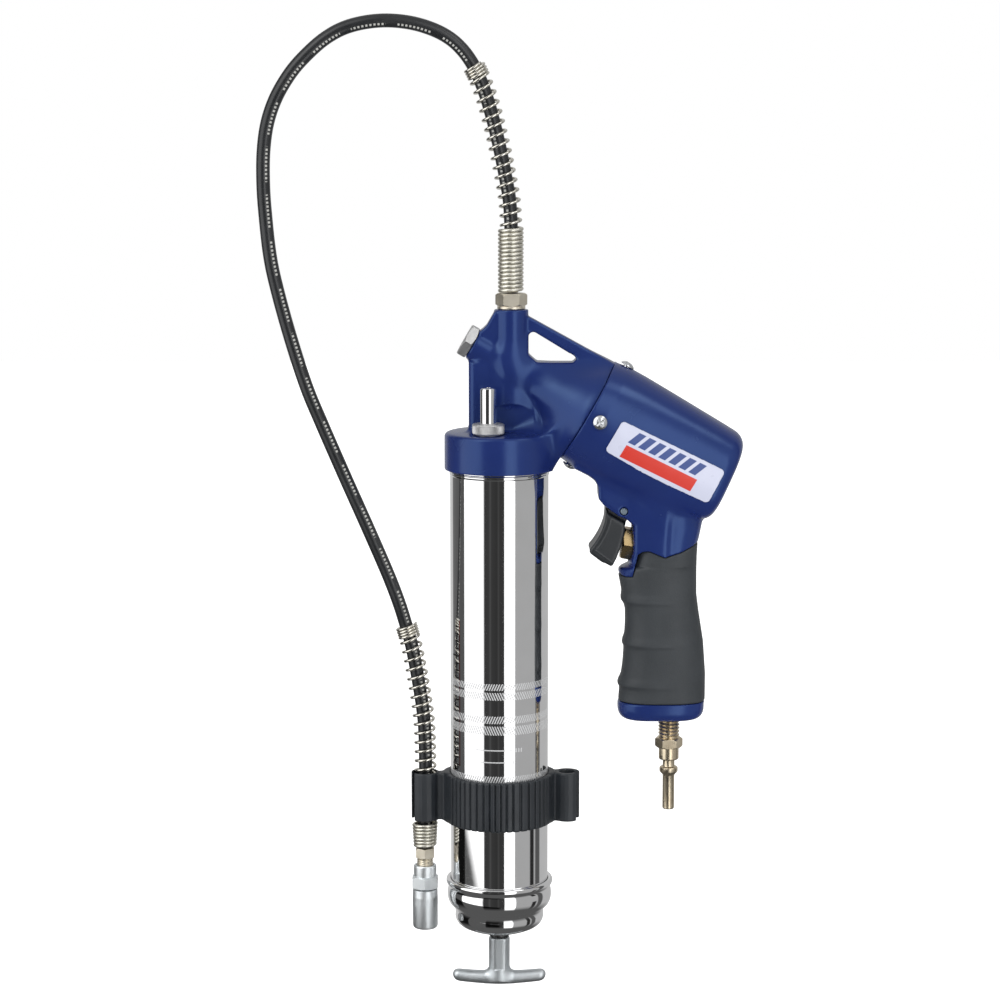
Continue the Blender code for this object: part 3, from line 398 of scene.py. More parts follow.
def finish_piece(name, points, faces, look, body, nodes, sharp=None):
    """Makes the mesh in the frame, and lets it ride and stand for its CAD nodes."""
    mesh = bpy.data.meshes.new(name)
    faces = [np.asarray(part) for part in faces if len(part)]
    mesh.vertices.add(len(points))
    mesh.vertices.foreach_set("co", ((np.asarray(points, float) - SHIFT) * MM).astype(np.float32).ravel())
    loops = np.concatenate([part.ravel() for part in faces])
    sizes = np.concatenate([np.full(len(part), part.shape[1]) for part in faces])
    mesh.loops.add(len(loops))
    mesh.loops.foreach_set("vertex_index", loops.astype(np.int32))
    mesh.polygons.add(len(sizes))
    mesh.polygons.foreach_set("loop_start", np.concatenate([[0], np.cumsum(sizes)[:-1]]).astype(np.int32))
    mesh.update(calc_edges=True)
    mesh.validate()
    mesh.shade_smooth()
    if sharp:
        mesh.set_sharp_from_angle(angle=math.radians(sharp))
    mesh.materials.append(LOOKS[look])
    obj = bpy.data.objects.new(name, mesh)
    bpy.context.collection.objects.link(obj)
    if nodes:
        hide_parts(*nodes)
    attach(obj, body)
    return obj


def outward(points, faces):
    """The faces, turned over if they enclose a negative volume."""
    corners = points[faces[:, :3]].astype(float)
    volume = np.einsum("ij,ij->i", corners[:, 0], np.cross(corners[:, 1], corners[:, 2])).sum()
    if faces.shape[1] == 4:
        corners = points[faces[:, [0, 2, 3]]].astype(float)
        volume += np.einsum("ij,ij->i", corners[:, 0], np.cross(corners[:, 1], corners[:, 2])).sum()
    return faces if volume > 0 else faces[:, ::-1]


def ring_radii(row, angles):
    """Radii of one row of a turned piece: round, six-sided with an upper limit, or a helical thread."""
    radius, height, *kind = row
    if not kind:
        return np.full(len(angles), float(radius))
    if kind[0] == "hex":
        sixth = math.radians(60)
        hexagon = radius / np.cos((angles + sixth / 2) % sixth - sixth / 2)
        return np.minimum(hexagon, kind[1])
    if kind[0] == "thread":
        phase = (height / kind[2] - angles / (2 * math.pi)) % 1.0
        return radius - kind[1] * np.abs(2 * phase - 1)
    if kind[0] == "knurl":
        return radius - kind[1] * (0.5 + 0.5 * np.cos(kind[2] * angles + kind[3] * height))
    raise ValueError(kind[0])


def hexagon(flat, low, high, chamfer=0.9):
    """Rows of a six-sided length whose corners are turned off at both ends."""
    corner = flat / math.cos(math.radians(30))
    rows = []
    for k in range(5):
        rows.append((flat, low + chamfer * k / 4, "hex", flat + (corner - flat) * k / 4))
    for k in range(4, -1, -1):
        rows.append((flat, high - chamfer * k / 4, "hex", flat + (corner - flat) * k / 4))
    return rows


def threads(crest, low, high, pitch, depth=None):
    """Rows of a threaded length."""
    depth = depth or pitch * 0.5
    count = max(2, int(round((high - low) / pitch * 8)))
    return [(crest, low + (high - low) * k / count, "thread", depth, pitch) for k in range(count + 1)]


def turned(name, rows, look, body, nodes, place=(0, 0, 0), direction=UP, sides=96, turn=0.0, sharp=28):
    """Solid of revolution through rows of radius and height along a direction."""
    angles = 2 * math.pi * np.arange(sides) / sides
    frame_turn = np.array(UP.rotation_difference(Vector(direction)).to_matrix())
    points = []
    rings = []
    for row in rows:
        if row[0] == 0:
            rings.append([len(points)])
            points.append((0.0, 0.0, row[1]))
            continue
        rings.append(list(range(len(points), len(points) + sides)))
        radii = ring_radii(row, angles + math.radians(turn))
        for angle, radius in zip(angles, radii):
            points.append((radius * math.cos(angle), radius * math.sin(angle), row[1]))
    pairs = list(zip(rings, rings[1:]))
    if rows[0][0] > 0:
        pairs.append((rings[-1], rings[0]))
    triangles = []
    quads = []
    for low, high in pairs:
        for i in range(sides):
            j = (i + 1) % sides
            if len(low) == 1:
                triangles.append((low[0], high[j], high[i]))
            elif len(high) == 1:
                triangles.append((low[i], low[j], high[0]))
            else:
                quads.append((low[i], low[j], high[j], high[i]))
    points = np.array(points) @ frame_turn.T + np.array(place)
    faces = [np.array(part).reshape(-1, size) for part, size in ((triangles, 3), (quads, 4))]
    if (outward(points, faces[1]) != faces[1]).any():
        faces = [part[:, ::-1] for part in faces]
    return finish_piece(name, points, faces, look, body, nodes, sharp=sharp)


def smooth_path(knots, steps):
    """Catmull-Rom curve through the knots, with the given steps between neighbours."""
    knots = [Vector(knot) for knot in knots]
    ends = [2 * knots[0] - knots[1]] + knots + [2 * knots[-1] - knots[-2]]
    path = []
    for k in range(1, len(ends) - 2):
        a, b, c, d = ends[k - 1:k + 3]
        for i in range(steps):
            t = i / steps
            path.append(0.5 * (2 * b + (c - a) * t + (2 * a - 5 * b + 4 * c - d) * t ** 2
                               + (3 * b - a - 3 * c + d) * t ** 3))
    path.append(knots[-1])
    return np.array(path)


def arc_lengths(path):
    return np.concatenate([[0.0], np.cumsum(np.linalg.norm(np.diff(path, axis=0), axis=1))])


def path_frames(path):
    """Tangent and two normals at each point of a path, without twist."""
    tangents = np.gradient(path, axis=0)
    tangents /= np.linalg.norm(tangents, axis=1)[:, None]
    normal = np.cross(tangents[0], (0.0, 1.0, 0.0))
    if np.linalg.norm(normal) < 1e-6:
        normal = np.array((1.0, 0.0, 0.0))
    normals = []
    for tangent in tangents:
        normal = normal - tangent * (normal @ tangent)
        normal = normal / np.linalg.norm(normal)
        normals.append(normal)
    normals = np.array(normals)
    return tangents, normals, np.cross(tangents, normals)


def tube(path, radius, sides):
    """Points and faces of a round tube with closed ends along a path."""
    _, first, second = path_frames(path)
    angles = 2 * math.pi * np.arange(sides) / sides
    cos, sin = np.cos(angles)[None, :, None], np.sin(angles)[None, :, None]
    ring = cos * first[:, None, :] + sin * second[:, None, :]
    points = (path[:, None, :] + radius * ring).reshape(-1, 3)
    base = np.arange(len(path) - 1)[:, None] * sides
    i = np.arange(sides)[None, :]
    j = (i + 1) % sides
    quads = np.stack([base + i, base + j, base + sides + j, base + sides + i], axis=-1).reshape(-1, 4)
    start, end = len(points), len(points) + 1
    points = np.vstack([points, path[0], path[-1]])
    last = (len(path) - 1) * sides
    i, j = i.ravel(), j.ravel()
    caps = np.vstack([np.stack([np.full(sides, start), j, i], axis=-1),
                      np.stack([np.full(sides, end), last + i, last + j], axis=-1)])
    return points, [caps, quads]


def coil(name, centre, radius, wire, pitches, look, body, nodes, per_turn=26, sides=10, taper=0.0):
    """Wire wound round a centreline; pitches is a list of (turns, pitch) runs from the start, where the
    coil can be narrower by the taper."""
    lengths = arc_lengths(centre)
    _, first, second = path_frames(centre)
    turns = []
    travel = []
    turned_so_far, gone = 0.0, wire / 2
    for count, pitch in pitches:
        n = int(round(count * per_turn))
        for k in range(n):
            turns.append(turned_so_far + k / per_turn)
            travel.append(gone + pitch * k / per_turn)
        turned_so_far += n / per_turn
        gone += pitch * n / per_turn
    turns.append(turned_so_far)
    travel.append(gone)
    travel = np.clip(np.array(travel), 0.0, lengths[-1])
    angle = np.array(turns) * 2 * math.pi
    radius = (radius - taper * np.clip(1 - travel / 16.0, 0, 1))[:, None]
    place = np.stack([np.interp(travel, lengths, centre[:, k]) for k in range(3)], axis=-1)
    a = np.stack([np.interp(travel, lengths, first[:, k]) for k in range(3)], axis=-1)
    b = np.stack([np.interp(travel, lengths, second[:, k]) for k in range(3)], axis=-1)
    path = place + radius * (np.cos(angle)[:, None] * a + np.sin(angle)[:, None] * b)
    points, faces = tube(path, wire / 2, sides)
    return finish_piece(name, points, faces, look, body, nodes)


# ---------------------------------------------------------------- fields

def sample_grid(low, high, step):
    """Open coordinate arrays in millimetres over a box, and the step really used."""
    axes = [np.arange(a, b + step, step, dtype=np.float32) for a, b in zip(low, high)]
    return axes[0][:, None, None], axes[1][None, :, None], axes[2][None, None, :], step


def near_max(a, b, blend):
    """Intersection of two fields with a rounded edge."""
    h = np.maximum(blend - np.abs(a - b), 0) / blend
    return np.maximum(a, b) + h * h * (blend * 0.25)


def near_min(a, b, blend):
    """Union of two fields with a fillet."""
    h = np.maximum(blend - np.abs(a - b), 0) / blend
    return np.minimum(a, b) - h * h * (blend * 0.25)


def outline_distance(u, v, outline):
    """Signed distance to a closed outline, negative inside."""
    best = None
    inside = None
    for (ax, ay), (bx, by) in zip(outline[-1:] + outline[:-1], outline):
        ex, ey = bx - ax, by - ay
        wx, wy = u - ax, v - ay
        t = np.clip((wx * ex + wy * ey) / (ex * ex + ey * ey), 0, 1)
        square = (wx - ex * t) ** 2 + (wy - ey * t) ** 2
        crossing = ((ay > v) != (by > v)) & (u < ex * (v - ay) / (ey or 1e-9) + ax)
        best = square if best is None else np.minimum(best, square)
        inside = crossing if inside is None else inside ^ crossing
    return np.where(inside, -1.0, 1.0) * np.sqrt(best)


def plate(x, y, z, outline, half, rounding=1.5):
    """Plate of an (x, z) outline, as thick as twice half in y, its edges rounded."""
    flat = outline_distance(x, z, outline)
    return near_max(flat, np.abs(y) - half, rounding)


def cylinder_coords(x, z):
    """Distance along the air cylinder axis from the joint face, and height above the axis."""
    s = (x - JOINT_X) * math.cos(TILT) - (z - JOINT_Z) * math.sin(TILT)
    h = (x - JOINT_X) * math.sin(TILT) + (z - JOINT_Z) * math.cos(TILT)
    return s, h


def along(s, h=0.0, y=0.0):
    return Vector((JOINT_X + s * math.cos(TILT) + h * math.sin(TILT), y,
                   JOINT_Z - s * math.sin(TILT) + h * math.cos(TILT)))


def bore(radial, radius, position, low, high):
    """Round hole about an axis, as a solid to be taken away."""
    return np.maximum(radial - radius, np.maximum(low - position, position - high))


def taken(solid, tool, rounding=0.7):
    """The solid less the tool, its new edges slightly rounded."""
    return near_max(solid, -tool, rounding)


def field_mesh(values, low, step):
    """Points and faces of a field's zero surface."""
    volume = openvdb.FloatGrid()
    volume.background = 5.0
    volume.copyFromArray(np.ascontiguousarray(values, dtype=np.float32))
    points, _, quads = volume.convertToPolygons(isovalue=0.0, adaptivity=0.0)
    return points * step + np.array(low, dtype=np.float32), quads.astype(np.int64)


def from_field(name, values, low, step, look, body, nodes):
    points, quads = field_mesh(values, low, step)
    return finish_piece(name, points, [outward(points, quads)], look, body, nodes)


def superellipse(a, b, half_a, half_b, power):
    """Approximate distance to a superellipse with the given half axes."""
    scaled = (np.abs(a) / half_a) ** power + (np.abs(b) / half_b) ** power
    level = np.maximum(scaled, 1e-6) ** (1 / power)
    reach = np.sqrt(a * a + b * b)
    return reach * (1 - 1 / np.maximum(level, 1e-3))


# ---------------------------------------------------------------- pump head

def cone_radius(s):
    """Radius of the pump line's casting by the distance along its axis, with softened corners."""
    stations = np.array([-80.0, -44.0, -38.0, -33.0, -24.0, -9.0, -3.0, 5.0])
    radii = np.array([9.2, 9.2, 9.6, 11.2, 15.8, 24.6, 28.8, 31.0])
    fine = np.linspace(-80.0, 5.0, 171)
    padded = np.pad(np.interp(fine, stations, radii), 6, mode="edge")
    smooth = np.convolve(padded, np.ones(13) / 13, mode="valid")
    return np.interp(s, fine, smooth).astype(np.float32)


def head_outside(x, y, z, s, line_radius, outlet_radius):
    """The casting without its bores: cap, pump line, neck, outlet boss, web and the corner at the plug."""
    flat_radius = np.sqrt(x * x + y * y)
    top = z - (23.3 - 0.0016 * flat_radius * flat_radius)
    cap = near_max(near_max(flat_radius - 31.75, top, 2.6), -z, 1.2)
    line = near_max((line_radius - cone_radius(s)) * 0.86, s + 0.04, 0.2)
    line = near_max(line, -75.9 - s, 1.2)
    outline = [(-17.7, 17.0), (-17.7, 63.5), (-10.0, 66.0), (14.0, 60.0), (24.0, 40.0), (24.0, 17.0)]
    neck = plate(x, y, z, outline, 8.4, 5.0)
    outlet = near_max(outlet_radius - OUTLET_R + np.clip((z - 40) / 52.8, 0, 1) * 0.1, z - 92.8, 1.0)
    outlet = np.maximum(outlet, 40.0 - z)
    outline = [(-11.6, 80.2), (-9.4, 81.8), (-7.2, 84.0), (-2.6, 92.0), (6.0, 91.6), (6.0, 58.0),
               (-8.0, 62.0)]
    corner = plate(x, y, z, outline, 6.8, 2.0)
    outline = [(8.0, 90.6), (17.6, 88.9), (65.2, 62.6), (60.0, 44.0), (20.0, 50.0), (8.0, 60.0)]
    web = plate(x, y, z, outline, 4.6, 2.0)
    # the web runs into the cone with a wide fillet, but its top edge stays straight
    solid = near_min(line, web, 11.0)
    above = (x - 17.6) * 0.4836 + (z - 88.9) * 0.8753
    solid = near_max(solid, above + 0 * y, 1.5)
    solid = near_min(solid, neck, 1.5)
    blend = np.interp(z, [68.0, 82.0], [6.0, 1.0]).astype(np.float32)
    solid = near_min(solid, outlet, blend)
    solid = near_min(solid, corner, 1.0)
    # a wide fillet closes the gap between the cap and the cone
    blend = np.interp(x, [8.0, 20.0], [4.0, 16.0]).astype(np.float32)
    solid = near_min(solid, cap, blend)
    solid = np.maximum(solid, 0.3 - z + 0 * x)
    return np.maximum(solid, s + 0.04)


def screw_holes(solid, s, h, y, inner):
    """The solid with the cover screws' four holes, which start at a distance from the axis."""
    for across, up in ((y, h), (h, y)):
        radial = np.sqrt((s - 7.5) ** 2 + across * across)
        solid = taken(solid, np.maximum(radial - 2.6, inner - np.abs(up)), 0.4)
    return solid


def pump_head():
    low = (-34.5, -33.0, -1.5)
    x, y, z, step = sample_grid(low, (74.0, 33.0, 94.5), 0.5)
    s, h = cylinder_coords(x, z)
    line_radius = np.sqrt(h * h + y * y)
    outlet_radius = np.sqrt((x - OUTLET_X) ** 2 + y * y)
    solid = head_outside(x, y, z, s, line_radius, outlet_radius)
    solid = taken(solid, hanging_hole(x, z) + 0 * y, 1.6)
    spigot = near_max(np.maximum(line_radius - 28.4, -0.5 - s), s - 15.7, 1.0)
    solid = np.minimum(solid, spigot)
    solid = taken(solid, bore(np.sqrt(x * x + y * y), 28.97, z, -9.0, 16.5), 0.9)
    bleeder_radius = np.sqrt((x - BLEEDER[0]) ** 2 + (y - BLEEDER[1]) ** 2)
    for radial, size, position, start, end in (
            (bleeder_radius, 6.6, z, 12.5, 26.0), (bleeder_radius, 9.9, z, 22.4, 34.0),
            (line_radius, 6.4, s, -99.0, -64.0), (line_radius, 4.6, s, -66.0, -45.0),
            (line_radius, 3.9, s, -46.0, 5.0), (line_radius, 7.9, s, -8.0, 5.0),
            (line_radius, 20.0, s, -1.0, 30.0), (outlet_radius, 2.8, z, 60.0, 90.0),
            (outlet_radius, 5.4, z, 81.0, 99.0)):
        solid = taken(solid, bore(radial, size, position, start, end), 0.5)
    solid = screw_holes(solid, s, h, y, 22.4)
    from_field("head_casting", solid, low, step, "enamel", "gun", ["pump_head"])


def hanging_hole(x, z):
    """Three-cornered hole whose top left and right end corners are rounder than the others."""
    sharp = [(17.2, 82.0), (44.2, 65.1), (42.0, 63.0), (22.2, 63.0), (17.2, 66.6)]
    rounder = [(19.5, 77.2), (41.4, 63.9), (40.6, 65.0), (22.6, 65.6), (19.5, 68.4)]
    return np.maximum(outline_distance(x, z, sharp) - 0.35, outline_distance(x, z, rounder) - 2.7)


def head_fittings():
    rows = [(0, -5.6), (7.0, -5.6)] + hexagon(9.0, -5.6, -0.3, 0.8)
    rows += [(6.1, -0.3), (6.1, 10.7), (5.2, 11.7), (0, 11.7)]
    turned("head_plug", rows, "frosted", "gun", ["hex_plug"], along(-75.9), CYLINDER_DIR)
    for side, (direction, base) in {
            "top": (NORMAL_DIR, 33.3), "bottom": (-NORMAL_DIR, 32.8), "front": (Vector((0, -1, 0)), 32.5),
            "back": (Vector((0, 1, 0)), 32.5)}.items():
        pan_screw(f"cover_screw_{side}", [f"skirt_screw_{side}"], along(7.5) + direction * base, direction)


def pan_screw(name, nodes, place, direction):
    """Pan-head screw with a cross recess, sampled in its own axes."""
    low = (-4.6, -4.6, -7.7)
    x, y, z, step = sample_grid(low, (4.6, 4.6, 2.8), 0.11)
    radial = np.sqrt(x * x + y * y)
    dome = np.sqrt(radial ** 2 + (z + 3.4) ** 2) - 5.75
    head = near_max(near_max(radial - 4.25, dome, 0.5), -z, 0.3)
    shank = near_max(radial - 2.2, -7.5 - z, 0.4)
    solid = np.minimum(head, np.maximum(shank, z - 0.5))
    depth = 0.55 + radial * 0.42
    for a, b in ((x, y), (y, x)):
        slot = np.maximum(np.maximum(np.abs(a) - 0.55, np.abs(b) - 2.5), depth - z)
        solid = taken(solid, slot, 0.15)
    points, quads = field_mesh(solid + 0 * x, low, step)
    turn = np.array(UP.rotation_difference(Vector(direction)).to_matrix())
    spin = math.radians(38)
    around = np.array([[math.cos(spin), -math.sin(spin), 0], [math.sin(spin), math.cos(spin), 0], [0, 0, 1]])
    points = points @ around.T @ turn.T + np.array(place)
    finish_piece(name, points, [outward(points, quads)], "zinc_plate", "gun", nodes)


def bleeder():
    base = [(1.8, -6.0), (6.3, -6.0), (6.3, -0.3), (8.6, -0.3), (9.0, 0.2)]
    base += [(9.25, 0.5 + 0.36 * k, "knurl", 0.22, 84, 0.0) for k in range(13)]
    base += [(9.2, 5.1), (8.7, 5.7), (8.0, 5.75), (4.7, 6.2), (4.7, -5.0), (1.8, -5.0)]
    turned("bleed_valve_base", base, "frosted", "gun", ["bleeder_base"], BLEEDER, sides=336)
    # the pin's foot is a cup that goes down round the spring
    pin = [(0, 1.6), (3.9, 1.6), (3.9, -1.6), (4.2, -1.6), (4.55, -1.2), (4.6, 25.0), (4.4, 25.8)]
    pin += [(3.9, 26.3), (3.4, 26.55), (2.0, 26.6), (1.7, 26.4), (1.55, 25.9), (1.4, 25.0), (0, 24.6)]
    turned("bleed_valve_pin", pin, "chrome_plate", "bleeder", ["bleeder_pin"], BLEEDER)


# ---------------------------------------------------------------- housing, handle and grip

def at_stations(rows, position):
    """Each further column of the rows at a position given by the first column."""
    return [np.interp(position, rows[:, 0], column).astype(np.float32) for column in rows.T[1:]]


def handle_field(x, y, z, inset=0.0, bumps=False):
    front, back, half, power = at_stations(HANDLE_STATIONS, z)
    middle = (front + back) / 2
    distance = superellipse(x - middle, y, (back - front) / 2 - inset, half - inset, power)
    if bumps:
        reach = np.clip((x - front) / 34.0, 0, 1)
        for height, size in FINGER_BUMPS:
            ridge = np.exp(-((z - height - 0.9) / 2.7) ** 2) * size * (1 - reach) ** 1.2
            ridge += np.exp(-((z - height + 0.6) / 1.1) ** 2) * 0.35 * np.clip((0.92 - reach) * 6, 0, 1)
            distance = distance - ridge.astype(np.float32)
        for height in (-88.5, -113.3):
            dish = np.exp(-((z - height) / 7.5) ** 2) * 0.35 * np.clip((0.95 - reach) * 3, 0, 1)
            distance = distance + dish.astype(np.float32)
    return distance


def body_field(x, y, z):
    """Distance to the housing's surface, and the coordinates along its axis, above it and by section."""
    s, h = cylinder_coords(x, z)
    station = s
    for _ in range(2):
        lean = np.interp(station, BODY_STATIONS[:, 0], BODY_STATIONS[:, 5])
        station = s - lean * h
    top, bottom, half, power, _ = at_stations(BODY_STATIONS, station)
    middle = (top + bottom) / 2
    distance = superellipse(h - middle, y, (top - bottom) / 2, half, power)
    return distance, s, h, station


def grip_edge_field(x, z):
    """Distance to the grip's zone, negative inside it."""
    outline = GRIP_EDGE + [(126.0, GRIP_BOTTOM), (60.0, GRIP_BOTTOM)]
    return outline_distance(x, z, outline)


def valve_bore(x, y, z, radius, low, high):
    """Round hole about the valve's axis, between two distances along it."""
    t = (x - VALVE[0]) * VALVE_DIR.x + (z - VALVE[1]) * VALVE_DIR.z
    up = -(x - VALVE[0]) * VALVE_DIR.z + (z - VALVE[1]) * VALVE_DIR.x
    return bore(np.sqrt(up * up + y * y), radius, t, low, high)


def trigger_bracket(x, y, z):
    outline = [(44.0, 2.5), (52.0, -1.2), (55.4, -4.6), (56.7, -8.6), (57.2, -15.8), (60.2, -19.4),
               (69.0, -25.8), (72.3, -26.9), (78.5, -30.8), (78.5, -47.0), (77.2, -52.6), (82.0, -56.0),
               (92.0, -56.0), (96.0, -4.0), (60.0, 10.0)]
    return plate(x, y, z, outline, 13.6, 2.5)


def motor_housing():
    low = (32.0, -34.0, -148.5)
    x, y, z, step = sample_grid(low, (148.0, 34.0, 72.0), 0.6)
    distance, s, h, station = body_field(x, y, z)
    body = near_max(distance, station - BODY_END, 8.0)
    body = near_max(body, -s, 0.2)
    handle = near_max(handle_field(x, y, z), BUTT_BOTTOM - z, 7.5)
    handle = np.maximum(handle, z + 2.0)
    solid = near_min(body, trigger_bracket(x, y, z), 5.0)
    # the fillet between body and handle is tighter at the back
    blend = np.interp(x, [96.0, 112.0], [9.0, 2.5]).astype(np.float32)
    solid = near_min(solid, handle, blend)
    zone = grip_edge_field(x, z) + 0 * y
    core = handle_field(x, y, z, 3.0)
    solid = taken(solid, np.maximum(zone, -core), 0.7)
    radial = np.sqrt(h * h + y * y)
    solid = taken(solid, bore(radial, 28.7, s, -9.0, 16.3), 0.5)
    solid = taken(solid, bore(radial, 22.5, s, 0.0, 72.0), 0.5)
    slot = np.maximum(outline_distance(x, z, [(61.0, -12.8), (61.0, -40.0), (77.8, -40.0), (77.8, -12.8)]),
                      np.abs(y) - 8.4)
    solid = taken(solid, slot, 0.8)
    solid = taken(solid, valve_bore(x, y, z, 10.7, -12.0, 7.1), 0.8)
    solid = taken(solid, valve_bore(x, y, z, 6.7, 0.0, 19.5), 0.4)
    solid = taken(solid, valve_bore(x, y, z, 3.4, 15.0, 25.0), 0.4)
    pin = np.sqrt((x - PIN[0]) ** 2 + (z - PIN[1]) ** 2) - 2.3
    solid = taken(solid, pin + 0 * y, 0.5)
    inlet = np.sqrt((x - AIR_X) ** 2 + y * y)
    solid = taken(solid, bore(inlet, 4.6, z, -155.0, -46.0), 0.4)
    solid = taken(solid, bore(inlet, 6.6, z, -155.0, -136.0), 0.4)
    solid = screw_holes(solid, s, h, y, 20.0)
    from_field("housing_casting", solid, low, step, "enamel", "gun", ["motor_housing"])


def grip():
    low = (64.0, -20.5, -139.5)
    x, y, z, step = sample_grid(low, (124.0, 20.5, -34.0), 0.5)
    outer = handle_field(x, y, z, bumps=True)
    solid = near_max(outer, grip_edge_field(x, z) + 0.15 + 0 * y, 1.0)
    solid = near_max(solid, 0.0 - handle_field(x, y, z, 2.7), 0.5)
    solid = taken(solid, valve_bore(x, y, z, 10.7, -12.0, 7.1), 0.8)
    solid = taken(solid, valve_bore(x, y, z, 7.0, 0.0, 19.5), 0.4)
    from_field("grip_sleeve", solid, low, step, "grip_rubber", "gun", ["grip"])


def label(name, node_name, side):
    """Name plate that follows the housing's side and stands a little proud of it."""
    corners = [(17.8, 7.4), (84.0, 11.2), (84.8, -10.5), (60.0, -12.6), (40.0, -13.3), (18.0, -13.0)]
    low = (15.0, 24.0, -16.0)
    step = 0.4
    s, depth, h = (np.arange(a, b, step) for a, b in zip(low, (88.0, 34.0, 14.0)))
    s, depth, h = s[:, None, None], depth[None, :, None], h[None, None, :]
    station = s - np.interp(s, BODY_STATIONS[:, 0], BODY_STATIONS[:, 5]) * h
    top, bottom, half, power, _ = at_stations(BODY_STATIONS, station)
    reach = np.abs(h - (top + bottom) / 2) / ((top - bottom) / 2)
    surface = half * (1 - reach ** power) ** (1 / power)
    centre = np.mean(corners, axis=0)
    inset = [tuple(np.array(corner) + np.sign(centre - corner) * 2.6) for corner in corners]
    sheet = near_max(depth - surface - 0.75, surface + 0.1 - depth, 0.2)
    solid = near_max(sheet, outline_distance(s, h, inset) - 2.6, 0.5)
    points, quads = field_mesh(solid, low, step)
    place = np.array([along(p[0], p[2], side * p[1]) for p in points])
    finish_piece(name, place, [outward(place, quads)], "label_plastic", "gun", [node_name])


# ---------------------------------------------------------------- trigger, valve and plug

def trigger():
    low = (50.0, -13.5, -58.0)
    x, y, z, step = sample_grid(low, (80.0, 13.5, -14.5), 0.35)
    pull = [(61.3, 0, -21.4), (60.8, 0, -28.2), (58.4, 0, -35.2), (55.1, 0, -41.0), (52.1, 0, -45.0)]
    front = [(a, c) for a, _, c in smooth_path(pull, 3)]
    rest = [(52.0, -47.0), (52.9, -48.2), (58.4, -52.4), (64.2, -55.4), (65.8, -55.0), (68.0, -50.8),
            (70.6, -44.0), (72.3, -37.0), (73.0, -31.8), (71.8, -29.4), (67.7, -27.2), (62.9, -24.4)]
    flat = outline_distance(x, z, front + rest)
    # the pad is dished across its front and carries a thin raised rib behind the edge
    dish = 0.5 * (1 - (y / 12.2) ** 2) * np.exp(-((x - 56.0) / 6.0) ** 2)
    pad = near_max(flat + dish.astype(np.float32), np.abs(y) - 12.0, 2.4)
    behind = [(a + 3.0, c - 0.5) for a, c in front] + [(75.0, -60.0), (75.0, -22.0)]
    rib = np.abs(outline_distance(x, z, behind)) - 0.32
    pad = np.minimum(pad, near_max(near_max(rib, flat + 0.8, 0.4), np.abs(y) - 12.2, 0.3))
    outline = [(61.8, -20.5), (63.3, -17.9), (67.3, -16.9), (73.8, -17.2), (76.6, -20.5), (76.6, -25.0),
               (74.1, -28.0), (71.3, -33.0), (61.3, -29.0)]
    lug = plate(x, y, z, outline, 8.0, 1.5)
    solid = near_min(pad, lug, 1.5)
    pin = np.sqrt((x - PIN[0]) ** 2 + (z - PIN[1]) ** 2) - 2.3
    solid = taken(solid, pin + 0 * y, 0.4)
    pocket = np.maximum(outline_distance(x, z, [(65.2, -31.6), (80.0, -31.6), (80.0, -60.0), (61.0, -60.0),
                                                (61.0, -50.5)]), np.abs(y) - 10.7)
    solid = taken(solid, pocket, 0.6)
    from_field("trigger_lever", solid, low, step, "trigger_plastic", "trigger", ["trigger"])


def valve_and_plug():
    place = (VALVE[0], 0.0, VALVE[1])
    rows = [(2.6, 0.0)] + hexagon(8.75, 0.0, 6.7, 0.9) + [(6.4, 6.7), (6.4, 17.5), (2.6, 17.5)]
    turned("air_valve_body", rows, "bronze", "gun", ["valve_body"], place, VALVE_DIR, 96)
    stem = [(0, -3.9), (1.5, -3.9), (2.0, -3.6), (2.2, -3.1), (2.2, 19.0), (0, 19.0)]
    turned("air_valve_stem", stem, "steel", "valve", ["valve_stem"], place, VALVE_DIR, 48)
    pin = [(0, -14.0), (1.7, -14.0), (2.0, -13.7), (2.0, 13.7), (1.7, 14.0), (0, 14.0)]
    turned("lever_pin", pin, "dull_pin", "gun", ["trigger_pin"], (PIN[0], 0, PIN[1]), Vector((0, 1, 0)), 48)
    rows = [(2.2, 10.0), (5.7, 10.0)] + threads(6.35, 9.6, -8.2, -2.05, 0.95)
    rows += [(5.6, -8.7)] + hexagon(7.05, -14.8, -9.1, 0.8)[::-1]
    rows += [(5.7, -14.9), (5.9, -15.6), (5.9, -21.4), (5.5, -22.0), (3.5, -22.5), (3.5, -25.6)]
    rows += [(3.8, -26.2), (5.0, -26.7), (5.4, -27.2), (5.4, -29.2), (5.0, -30.0), (3.9, -31.0)]
    rows += [(3.5, -31.8), (3.5, -51.4), (3.1, -52.0), (2.2, -52.0)]
    turned("air_inlet_plug", rows, "brass", "gun", ["air_plug"], (AIR_X, 0, -149.8), sides=96, turn=30)


# ---------------------------------------------------------------- barrel and follower

def barrel():
    r = BARREL_R
    inner = r - 1.2
    rows = [(inner, 14.1), (r - 0.3, 14.1), (r, 13.8), (r, -0.4), (r + 0.25, -0.7), (r + 0.35, -1.1)]
    rows += [(r + 0.2, -1.6), (r + 0.35, -2.1), (r + 0.25, -2.6), (r, -3.0), (r, -6.0), (r, -251.6)]
    rows += [(r - 0.4, -252.0), (inner, -252.0)]
    turned("cartridge_tube", rows, "barrel", "barrel", ["barrel_tube"], sides=256)


